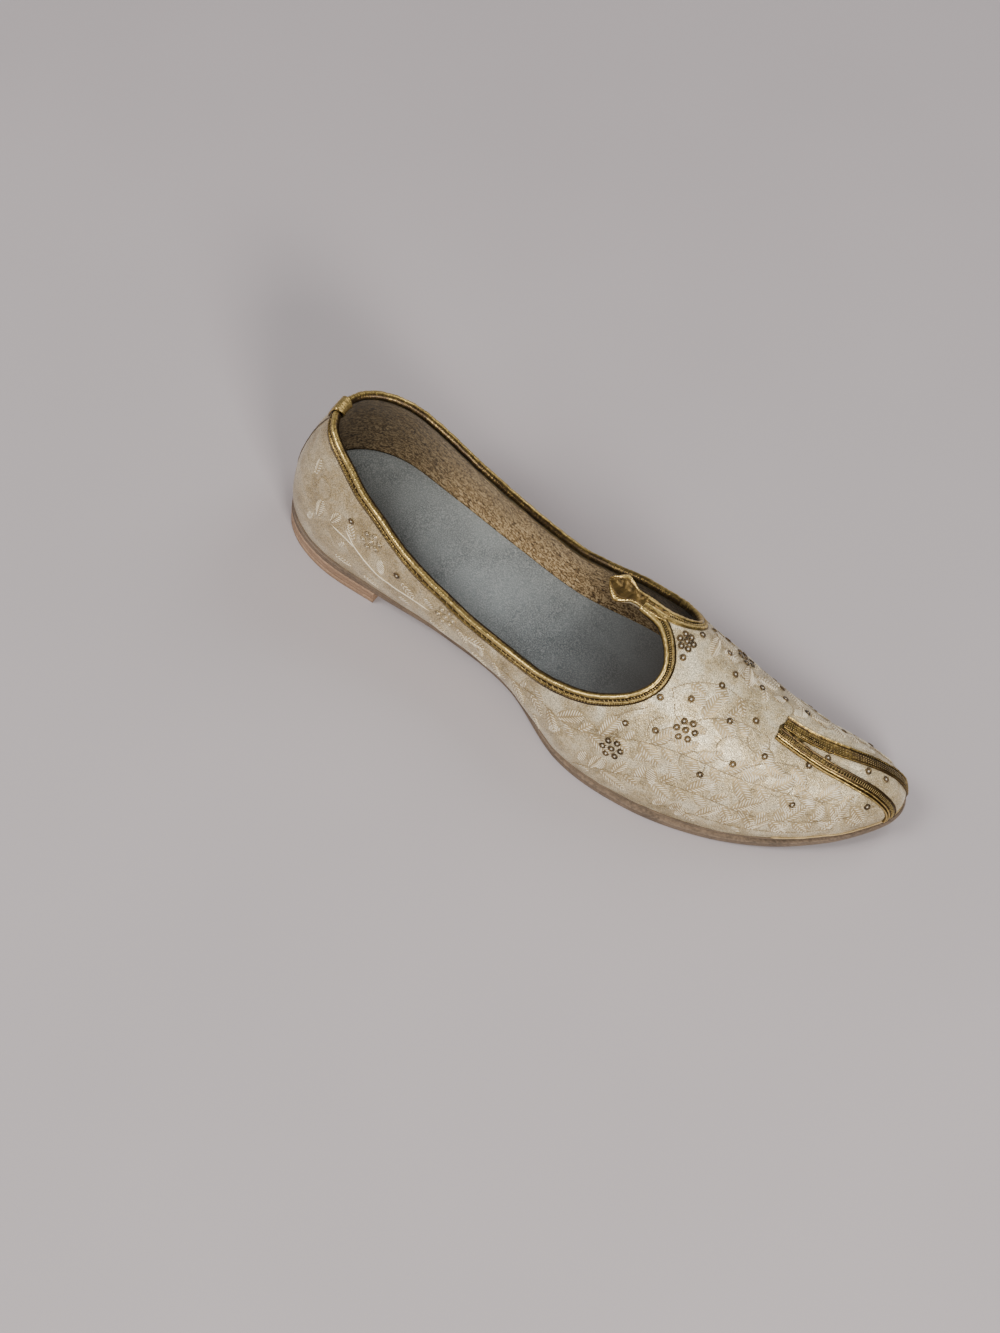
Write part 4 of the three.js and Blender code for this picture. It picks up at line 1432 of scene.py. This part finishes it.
@dataclass
class Binding:
    """Gold foil binding of the collar: a bright roll, a groove and a stitched roll."""

    end: float = 12.4
    stitched: float = 11.2
    rings: int = 580
    points: int = 40
    # The third number of each row, rise, sets the foil's painted shade and highlight: low in the groove and
    # inside, high on the crests.
    section: tuple[tuple[float, float, float], ...] = (
        (4.6, 0.05, 0.0),
        (4.5, 0.35, 0.05),
        (4.0, 0.5, 0.1),
        (3.6, 0.75, 0.3),
        (3.0, 0.92, 0.55),
        (2.5, 0.75, 0.4),
        (2.1, 0.25, 0.04),
        (1.6, 0.25, 0.04),
        (1.2, 0.85, 0.2),
        (0.6, 1.1, 0.7),
        (0.0, 1.02, 0.95),
        (-0.6, 0.65, 0.8),
        (-1.0, -0.3, 0.35),
        (-0.95, -1.2, 0.1),
        (-0.6, -2.1, 0.12),
        (0.4, -2.8, 0.2),
        (2.2, -2.65, 0.3),
        (3.6, -2.65, 0.3),
        (4.0, -2.35, 0.05),
        (3.7, -2.05, 0.0),
        (2.0, -2.03, 0.0),
        (0.1, -2.02, 0.0),
        (-0.15, -1.5, 0.0),
        (-0.15, -0.6, 0.0),
        (0.1, 0.0, 0.0),
        (2.0, 0.02, 0.0),
        (3.8, 0.02, 0.0),
    )

    def narrowing(self, edge: Array) -> Array:
        """Share of the full width at collar rows: the binding is narrower round the vamp."""
        return 1 - 0.13 * np.exp(-(((np.abs(edge) - 8.3) / 2.2) ** 2))

    def build(self) -> None:
        """Models and dresses the binding and its stitches."""
        edge = np.linspace(-self.end, self.end, self.rings)
        section = rounded(self.section, self.points)
        profile = np.broadcast_to(section, (self.rings, *section.shape)).copy()
        run = folded_rings(edge, section)[1] / MM
        pleat = 0.05 * np.sin(run * 2.1 + 1.3 * np.sin(run * 0.31)) + 0.045 * np.sin(run * 0.83 + 2)
        # painted highlight: on the inner side, the parts of the section more than 2.3 mm in from the edge get
        # more rise, so the foil is painted brighter there
        inner_roll_highlight = 0.3 * (edge[:, None] < 0) * (profile[..., 0] > 2.3)
        profile[..., 2] = np.clip(profile[..., 2] + inner_roll_highlight, 0, 1)
        proud = section[:, 2]
        profile[..., 1] += np.where(profile[..., 1] > 0.2, pleat[:, None] * (0.4 + proud), 0)
        room = np.clip(8.0 + (12.0 - np.abs(edge)) * 9, 2.2, 6.0)  # reach in mm, less at the two ends
        profile[..., 0] = np.minimum(profile[..., 0] * self.narrowing(edge)[:, None], room[:, None])
        rings, run = folded_rings(edge, profile)
        girth = run_along(rings[0])
        uv = np.stack(np.broadcast_arrays(run[:, None], girth[None]), -1)
        piece = lay("collar_rolls", rings, uv, profile[..., 2], closed=True, capped=True)
        finish_piece(piece, Foil("gold_foil", stain=0.22).material(), "gold_trim", "collar_binding")
        self.build_stitches()

    def build_stitches(self) -> None:
        """Fine slanting stitches on the outer roll, and the ones that cross the groove."""
        starts, ends, normals = [], [], []
        for count, lean, low, high in (
            (400, 0.018, (3.75, 0.66), (2.7, 0.84)), (230, -0.03, (2.45, 0.5), (1.2, 0.55))
        ):
            edge = np.linspace(-self.stitched, self.stitched, count)
            for found, corner, at in ((starts, low, edge), (ends, high, edge + lean)):
                profile = np.zeros((count, 1, 2))
                profile[:, 0, 0] = corner[0] * self.narrowing(edge)
                profile[:, 0, 1] = corner[1]
                found.append(folded_rings(at, profile)[0][:, 0])
            normals.append(LAST.slopes(*LAST.collar(edge))[2])
        piece = stitches("roll_stitches", np.concatenate(starts), np.concatenate(ends),
                         np.concatenate(normals), 0.40, 0.36)
        bright = Thread("bright_gold_thread", (0.16, 0.10, 0.03), (0.62, 0.46, 0.18), 0.28, 0.85)
        finish_piece(piece, bright.material(), "gold_trim")


@dataclass
class HeelTab:
    """Gold tab folded over the collar at the back seam, and the seam below it."""

    half_width: float = 4.0
    rings: int = 25
    points: int = 42
    # The third number of each row, rise, sets the foil's painted shade and highlight: high on the outside of
    # the fold, nought inside.
    section: tuple[tuple[float, float, float], ...] = (
        (7.2, 0.3, 0.1),
        (6.8, 0.65, 0.45),
        (4.9, 1.35, 0.7),
        (2.0, 1.9, 0.85),
        (0.2, 2.15, 1.0),
        (-1.2, 1.8, 0.9),
        (-2.0, 0.6, 0.8),
        (-2.2, -1.2, 0.7),
        (-1.9, -2.6, 0.6),
        (-0.4, -3.6, 0.5),
        (2.5, -3.7, 0.5),
        (5.4, -3.6, 0.4),
        (5.6, -3.2, 0.0),
        (2.5, -3.1, 0.0),
        (0.0, -3.0, 0.0),
        (-1.3, -2.1, 0.0),
        (-1.6, -0.8, 0.0),
        (-1.3, 0.6, 0.0),
        (0.1, 1.4, 0.0),
        (3.0, 1.15, 0.0),
        (5.5, 0.3, 0.0),
    )

    def build(self) -> None:
        """Models and dresses the tab and the back seam."""
        unit_edge = np.linalg.norm(LAST.surface(*LAST.collar(1.0)) - LAST.surface(*LAST.collar(0.0)))
        reach = self.half_width * MM / unit_edge
        edge = np.linspace(-reach, reach, self.rings)
        section = rounded(self.section, self.points)
        profile = np.broadcast_to(section, (self.rings, *section.shape)).copy()
        across = np.linspace(-1, 1, self.rings)
        proud = np.where(profile[..., 2] > 0.3, 1.0, 0.0)
        roll = 0.22 * np.exp(-(((np.abs(across) - 0.82) / 0.12) ** 2)) - 0.3 * (np.abs(across) > 0.97)
        profile[..., 1] += proud * roll[:, None] * np.sign(profile[..., 1])
        rings, run = folded_rings(edge, profile)
        girth = run_along(rings[0])
        uv = np.stack(np.broadcast_arrays(run[:, None], girth[None]), -1)
        piece = lay("heel_tab_fold", rings, uv, profile[..., 2], closed=True, capped=True)
        soften(piece, 40)
        foil = Foil("tab_foil", crest=(0.50, 0.36, 0.13), stain=0.25)
        finish_piece(piece, foil.material(), "gold_trim", "heel_tab")
        self.build_seam()

    def build_seam(self) -> None:
        """Closed back seam: a dark welt between the two quarters."""
        climb = np.linspace(2, 46, 60)
        turn = radians(smooth(np.array([0, 25, 50]), np.array([8.0, 6.4, 6.0]), climb))
        climb = radians(climb)
        normal = LAST.slopes(turn, climb)[2]
        seam = tube("back_seam", LAST.skin(turn, climb, 0.1), normal, 0.9, 0.7)
        dark = Thread("seam_thread", (0.05, 0.035, 0.02), (0.16, 0.11, 0.06), 0.5)
        finish_piece(seam, dark.material(), "brocade")


@dataclass
class Tongue:
    """Gold plate on the tongue, with its neck and its arrowhead."""

    lanes: int = 25
    rows: int = 90

    def heights(self, share: Array, station: Array) -> tuple[Array, Array]:
        """Height in mm and rise across the plate, with rolled edges and a creased middle; the rise paints a
        highlight on the rolled edges and light and shade along the creases.
        """
        edge = np.abs(share)
        roll = np.exp(-(((edge - 0.86) / 0.11) ** 2))
        bead = 1 + 0.22 * np.sin(station * 5.2 + 9 * edge)
        crease = 0.10 * np.sin(station * 1.3 + share * 2.2) + 0.04 * np.sin(station * 3.1 - share * 4)
        height = 0.5 + 0.62 * roll * bead + crease * (1 - roll) - 0.4 * ease(0.95, 1.0, edge)
        # painted highlight on the rolled edges, painted light and shade along the creases
        rise = 0.22 + 0.78 * roll * bead + 0.5 * crease * (1 - roll)
        return height, rise

    def build(self) -> None:
        """Models and dresses the plate and its dark stitches."""
        table = np.array(ARROW, float)
        station = np.linspace(table[0, 0], table[-1, 0], self.rows)
        half = np.interp(-station, -table[:, 0], table[:, 1])
        share = np.linspace(-1, 1, self.lanes)
        distance = half[:, None] * share
        stations = np.broadcast_to(station[:, None], distance.shape)
        place = LAST.beside_ridge(stations, distance)
        height, rise = self.heights(np.broadcast_to(share, distance.shape), stations)
        top = LAST.skin(*place, height)
        bottom = LAST.skin(*place, 0.06)
        rings = np.concatenate([top, bottom[:, ::-1]], 1)
        proud = np.concatenate([rise, np.zeros_like(rise)], 1)
        uv = np.stack([np.concatenate([stations, stations], 1), np.concatenate([distance, -distance], 1)], -1)
        piece = lay("tongue_plate", rings, uv * MM, proud, closed=True, capped=True)
        soften(piece, 50)
        foil = Foil("tongue_foil", middle=(0.30, 0.19, 0.055), wrinkle=0.12, mottle=0.25)
        finish_piece(piece, foil.material(), "gold_trim", "throat_tip")
        self.build_stitches(table)

    def build_stitches(self, table: Array) -> None:
        """A row of dark stitches inside the rolled edge."""
        station = np.linspace(175, 149.5, 46)
        half = np.interp(-station, -table[:, 0], table[:, 1]) * 0.62
        starts, ends, normals = [], [], []
        for way in (1, -1):
            place = LAST.beside_ridge(station, way * half)
            path = LAST.skin(*place, 0.85)
            starts.append(path[:-1] + (path[1:] - path[:-1]) * 0.15)
            ends.append(path[:-1] + (path[1:] - path[:-1]) * 0.85)
            normals.append(LAST.slopes(*place)[2][:-1])
        piece = stitches("tongue_stitches", np.concatenate(starts), np.concatenate(ends),
                         np.concatenate(normals), 0.32, 0.3)
        dark = Thread("dark_gold_thread", (0.04, 0.025, 0.01), (0.20, 0.12, 0.04), 0.4, 0.3)
        finish_piece(piece, dark.material(), "gold_trim")


@dataclass
class ToeStrip:
    """One of the two gold strips from the sole over the nose to the vamp."""

    side: Side
    half: float = 2.8
    rows: int = 130
    lanes: int = 31

    @property
    def rolls(self) -> tuple[tuple[float, float, float, float], ...]:
        """Middle, width, height and painted brightness of each roll, from 1 at the outer edge to -1: a
        highlight where positive, shade where negative.
        """
        if self.side is Side.OUTER:
            return (
                (0.84, 0.10, 0.5, 0.75),
                (0.63, 0.07, -0.3, -0.35),
                (0.42, 0.10, 0.35, 0.6),
                (0.18, 0.08, -0.3, -0.30),
                (-0.66, 0.20, -0.2, -0.24),
                (-0.88, 0.08, 0.3, -0.05),
            )
        return (
            (0.86, 0.09, 0.4, 0.45),
            (0.60, 0.08, -0.25, -0.25),
            (-0.70, 0.10, -0.25, -0.25),
            (-0.88, 0.08, 0.3, 0.15),
        )

    def path(self, at: Array) -> tuple[Array, Array]:
        """Turns and climbs along the middle of the strip."""
        rows = np.array(STRIP, float)
        knots = np.arange(len(rows), dtype=float)
        turn = radians(smooth(knots, rows[:, 0], at)) * self.side.value
        return turn, radians(smooth(knots, rows[:, 1], at))

    def across(self, at: Array) -> Array:
        """Unit directions across the strip."""
        ahead, behind = self.path(at + ROW_STEP), self.path(at - ROW_STEP)
        travel = unit(LAST.surface(*ahead) - LAST.surface(*behind))
        return unit(np.cross(LAST.slopes(*self.path(at))[2], travel))

    def heights(self, share: Array) -> tuple[Array, Array]:
        """Height in mm and rise across the strip, from its rolls and the flat band beside them; the rise
        paints the foil's highlights, and shade at its edges and in its grooves.
        """
        away = share * self.side.value
        # painted shade at the edges: the rise drops where the strip tucks down
        rim = ease(0.93, 1.0, np.abs(share))
        height = 0.72 - 0.5 * rim
        rise = 0.30 - 0.2 * rim
        for middle, width, lift, light in self.rolls:
            roll = np.exp(-(((away - middle) / width) ** 2))
            height = height + lift * roll
            rise = rise + light * roll
        return height, np.clip(rise, 0, 1)

    def build(self) -> None:
        """Models and dresses the strip and its stitches."""
        name = f"toe_strip_{'lateral' if self.side is Side.OUTER else 'medial'}"
        at = np.linspace(0, len(STRIP) - 1, self.rows)
        share = np.linspace(-1, 1, self.lanes)
        turn, climb = self.path(at)
        shape = (self.rows, self.lanes)
        turns = np.broadcast_to(turn[:, None], shape)
        climbs = np.broadcast_to(climb[:, None], shape)
        step = self.across(at)[:, None] * (share * self.half)[None, :, None] * MM
        place = LAST.walk(turns, climbs, step)
        height, rise = self.heights(np.broadcast_to(share, shape))
        run = run_along(LAST.surface(turn, climb))
        pleat = 0.07 * np.sin(run / MM * 1.7 + 1.1 * np.sin(run / MM * 0.4)) + 0.05 * np.sin(run / MM * 3.7)
        height = height + pleat[:, None] * (0.3 + rise)
        # painted shade: the foil is darkened round the nose, where it pleats
        painted_nose_shade = 0.45 * np.exp(-(((at - 3.0) / 1.1) ** 2))
        rise = np.clip(rise - painted_nose_shade[:, None] * (1 - 0.5 * rise), 0, 1)
        top = LAST.skin(*place, height)
        bottom = LAST.skin(*place, 0.05)
        rings = np.concatenate([top, bottom[:, ::-1]], 1)
        lanes_uv = np.concatenate([share, share[::-1]]) * self.half * MM
        uv = np.stack(np.broadcast_arrays(run[:, None], lanes_uv[None]), -1)
        proud = np.concatenate([rise, np.zeros_like(rise)], 1)
        piece = lay(f"{name}_foil", rings, uv, proud, closed=True, capped=True)
        soften(piece, 55)
        foil = Foil(
            f"{name}_gold", (0.045, 0.025, 0.006), (0.25, 0.165, 0.042), (0.75, 0.55, 0.20), stain=0.22
        )
        finish_piece(piece, foil.material(), "gold_trim", name)
        self.build_stitches(name)

    def build_stitches(self, name: str) -> None:
        """Rows of small slanting stitches along the band."""
        starts, ends, normals = [], [], []
        for row in (-0.03, -0.22, -0.41) if self.side is Side.OUTER else (0.74, 0.25, -0.1, -0.45):
            at = np.linspace(0.3, len(STRIP) - 1.1, 74) + 0.04 * row
            turn, climb = self.path(at)
            shift = row * self.side.value * self.half
            low = LAST.walk(turn, climb, self.across(at) * (shift - 0.3) * MM)
            ahead = at + 0.03
            high = LAST.walk(*self.path(ahead), self.across(ahead) * (shift + 0.3) * MM)
            starts.append(LAST.skin(*low, 0.85))
            ends.append(LAST.skin(*high, 0.85))
            normals.append(LAST.slopes(turn, climb)[2])
        piece = stitches(f"{name}_stitches", np.concatenate(starts), np.concatenate(ends),
                         np.concatenate(normals), 0.34, 0.3)
        bright = Thread(f"{name}_thread", (0.11, 0.068, 0.020), (0.56, 0.41, 0.15), 0.28, 0.8)
        finish_piece(piece, bright.material(), "gold_trim")


@dataclass
class ToeWeb:
    """Foil that joins the two toe strips over the ridge, where they start."""

    rows: int = 30
    lanes: int = 21
    start: float = 5.35
    wall: float = 0.45

    def build(self) -> None:
        """Models and dresses the web."""
        at = np.linspace(self.start, len(STRIP) - 1.0, self.rows)
        turn, climb = ToeStrip(Side.OUTER).path(at)
        share = np.linspace(-1, 1, self.lanes)
        turns = turn[:, None] * np.where(share > 0, 1, -1)
        reach = math.pi / 2 - np.broadcast_to(climb[:, None], turns.shape)
        climbs = math.pi / 2 - reach * np.abs(share)
        notch = 0.25 * (1 - share**2)
        turns = turns - np.sign(turns) * (turn - turn[-1])[:, None] * notch
        crease = 0.12 * np.sin(at[:, None] * 9 + share * 4) + 0.08 * np.sin(share * 11 + at[:, None] * 3)
        top = LAST.skin(turns, climbs, 0.5 + crease)
        bottom = LAST.skin(turns, climbs, 0.5 - self.wall)
        rings = np.concatenate([top, bottom[:, ::-1]], 1)
        # painted light and shade: the rise follows the creases
        rise = np.clip(0.22 + 1.5 * crease, 0, 1)
        proud = np.concatenate([rise, np.zeros_like(rise)], 1)
        lane = np.concatenate([share, share[::-1]]) * 3 * MM
        uv = np.stack(np.broadcast_arrays((at * 12 * MM)[:, None], lane[None]), -1)
        piece = lay("toe_web", rings, uv, proud, closed=True, capped=True)
        soften(piece, 50)
        foil = Foil("web_foil", (0.06, 0.04, 0.014), (0.30, 0.22, 0.08), (0.66, 0.50, 0.22))
        finish_piece(piece, foil.material(), "gold_trim")


# ---------------------------------------------------------------------------
# Bottom.
# ---------------------------------------------------------------------------


@dataclass
class Slab:
    """A layer of the bottom, from one edge of the outline to the other, with rounded edges."""

    name: str
    turns: Array
    grow: Array
    top: Array
    bottom: Array
    corner: float = 0.6
    lanes: int = 14
    steps: int = 7
    dish: float = 0.0

    def build(self) -> bpy.types.Object:
        """Models the slab."""
        angle = np.linspace(-math.pi / 2, math.pi / 2, self.steps)
        out = np.cos(angle) ** 0.6 * self.corner - self.corner
        level = (np.sin(angle) + 1) / 2
        sides = []
        for side in Side:
            rim = [
                LAST.feather(side.value * self.turns, self.grow + shift) for shift in out
            ]
            sides.append(np.stack(rim, 1))
        height = self.bottom[:, None] + (self.top - self.bottom)[:, None] * level[None]
        for points in sides:
            points[..., 2] = height * MM
        outer, inner = sides
        share = np.linspace(0, 1, self.lanes + 2)[1:-1]
        sag = self.dish * MM * np.sin(np.pi * share) ** 0.6
        over = outer[:, -1:] + (inner[:, -1:] - outer[:, -1:]) * share[None, :, None]
        width = np.linalg.norm(inner[:, -1] - outer[:, -1], axis=-1) / (60 * MM)
        over[..., 2] -= sag[None] * np.clip(width, 0, 1)[:, None]
        under = inner[:, :1] + (outer[:, :1] - inner[:, :1]) * share[None, :, None]
        rings = np.concatenate([outer, over, inner[:, ::-1], under], 1)
        rise = np.concatenate([level, np.ones(self.lanes), level[::-1], np.zeros(self.lanes)])
        rise = np.broadcast_to(rise, rings.shape[:2])
        piece = lay(self.name, rings, None, rise, closed=True, capped=True)
        soften(piece, 45)
        return piece


@dataclass
class Bottom:
    """Outsole, stacked heel, insole and the welt line between sole and upper, which is partly painted shadow.
    """

    gap: float = 0.3
    sole: float = 3.5
    insole: float = 2.5
    breast: float = 58.0
    wall: float = 2.0
    lifts: int = 3
    sole_rings: int = 241
    heel_rings: int = 97

    def build(self) -> None:
        """Models and dresses the bottom."""
        turns = np.linspace(0, math.pi, self.sole_rings)
        margin = LAST.column(LAST.margin_of, turns)
        top = LAST.column(LAST.feather_z, turns) - self.gap
        under = np.maximum(0, top - self.sole)
        outsole = Slab("outsole_leather", turns, margin, top, under, 0.9).build()
        # the dark lines of the sole's edge are layer lines; the upper one also stands for painted shadow
        # under the upper
        tan = Leather("sole_edge", (0.062, 0.043, 0.028), (0.200, 0.138, 0.090), 1.5)
        finish_piece(outsole, tan.material(), "sole_leather", "outsole")

        back = np.linspace(0, float(LAST.turn_of(self.breast)), self.heel_rings)
        seat = np.maximum(0, LAST.column(LAST.feather_z, back) - self.gap - self.sole)
        grow = LAST.column(LAST.margin_of, back)
        peach = Leather("heel_lifts", (0.165, 0.095, 0.052), (0.39, 0.245, 0.150), 1.0)
        lifts = []
        for n in range(self.lifts):
            above = seat * (n + 1) / self.lifts - 0.05
            below = seat * n / self.lifts + 0.04
            lifts.append(Slab(f"lift_{n}", back, grow + 0.1 * (-1) ** n, above, below, 0.4).build())
        heel = join("heel_stack", lifts)
        finish_piece(heel, peach.material(), "heel_stack", "heel_lift")

        inset = -(self.wall + 0.15) * np.ones_like(turns)
        bed = top + self.gap
        insole = Slab("insole_suede", turns, inset, bed + self.insole, bed, 0.8, dish=0.5, lanes=28).build()
        finish_piece(insole, Suede().material(), "insole_suede", "insole")
        self.build_welt()

    def build_welt(self) -> None:
        """Dark line where the upper meets the sole, partly the joint and partly painted shadow, and the gold
        cord round the toe.
        """
        turn = np.linspace(-math.pi, math.pi, 481)
        path = LAST.feather(turn, 0.25)
        path[:, 2] -= 0.1 * MM
        normal = np.tile([0.0, 0.0, 1.0], (len(turn), 1))
        # partly painted shadow: a dark cord along the joint of upper and sole
        welt = tube("welt_shadow_line", path, normal, 1.1, 0.8)
        dark = Thread("welt_shadow_thread", (0.060, 0.038, 0.022), (0.17, 0.115, 0.07), 0.55)
        finish_piece(welt, dark.material(), "sole_leather")
        toe = radians(np.linspace(138, 222, 150))
        climb = radians(np.full(150, 2.2))
        cord = tube("toe_cord", LAST.skin(toe, climb, 0.25), LAST.slopes(toe, climb)[2], 0.9, 0.9)
        gold = Thread("toe_cord_gold", (0.20, 0.13, 0.05), (0.62, 0.46, 0.22), 0.4, 0.5)
        finish_piece(cord, gold.material(), "gold_trim")


# ---------------------------------------------------------------------------
# Studio.
# ---------------------------------------------------------------------------


@dataclass(frozen=True)
class Softbox:
    """One area light, aimed at the shoe."""

    name: str
    place: Colour
    size: float
    power: float
    colour: Colour

    def build(self) -> None:
        """Adds the light."""
        data = bpy.data.lights.new(self.name, "AREA")
        data.size = self.size
        data.energy = self.power
        data.color = self.colour
        light = bpy.data.objects.new(self.name, data)
        bpy.context.scene.collection.objects.link(light)
        light.location = self.place
        light.rotation_euler = (-Vector(self.place)).to_track_quat("-Z", "Y").to_euler()


@dataclass(frozen=True)
class Studio:
    """Pale floor, soft lights and the camera."""

    eye: Colour = (0.13106, -0.40256, 0.78858)
    azimuth: float = 22.37
    elevation: float = 62.16
    roll: float = -13.51
    lens: float = 55.69
    sensor: float = 36.0
    floor_size: float = 6.0
    sky: Colour = (0.83, 0.83, 0.88)
    sky_level: float = 0.38

    def build(self) -> None:
        """Adds the floor, the lights and the camera."""
        bpy.ops.object.select_all(action="DESELECT")
        bpy.ops.mesh.primitive_plane_add(size=self.floor_size, location=(0, 0, 0))
        floor = bpy.context.object
        floor.name = "studio_floor"
        floor.data.materials.append(Floor().material())
        world = bpy.data.worlds.new("studio")
        world.use_nodes = True
        background = world.node_tree.nodes["Background"]
        background.inputs["Color"].default_value = (*self.sky, 1.0)
        background.inputs["Strength"].default_value = self.sky_level
        bpy.context.scene.world = world
        for light in (
            Softbox("window", (-0.65, -0.50, 1.15), 0.55, 11.0, (1.0, 0.97, 0.93)),
            Softbox("low", (0.92, -0.80, 0.80), 0.42, 20.0, (1.0, 0.965, 0.91)),
            Softbox("back", (0.3, 1.0, 1.0), 0.8, 6.5, (1.0, 0.98, 0.95)),
        ):
            light.build()
        self.add_camera()

    def add_camera(self) -> None:
        """Adds the camera at the viewing angle."""
        az, el, roll = (math.radians(a) for a in (self.azimuth, self.elevation, self.roll))
        back = Vector((math.sin(az) * math.cos(el), -math.cos(az) * math.cos(el), math.sin(el)))
        right = Vector((math.cos(az), math.sin(az), 0))
        down = (-back).cross(right)
        level = right * math.cos(roll) + down * math.sin(roll)
        plumb = down * math.cos(roll) - right * math.sin(roll)
        data = bpy.data.cameras.new("camera")
        data.lens = self.lens
        data.sensor_width = self.sensor
        camera = bpy.data.objects.new("camera", data)
        bpy.context.scene.collection.objects.link(camera)
        turned = Matrix((level, -plumb, back)).transposed().to_4x4()
        camera.matrix_world = Matrix.Translation(self.eye) @ turned
        bpy.context.scene.camera = camera


def main() -> None:
    """Builds the shoe and its studio in order."""
    logging.basicConfig(level=logging.INFO, format="%(message)s")
    for part in (
        Upper(), Embroidery(), Binding(), HeelTab(), Tongue(),
        ToeStrip(Side.OUTER), ToeStrip(Side.INNER), ToeWeb(), Bottom(), Studio(),
    ):
        part.build()


if __name__ == "__main__":
    main()
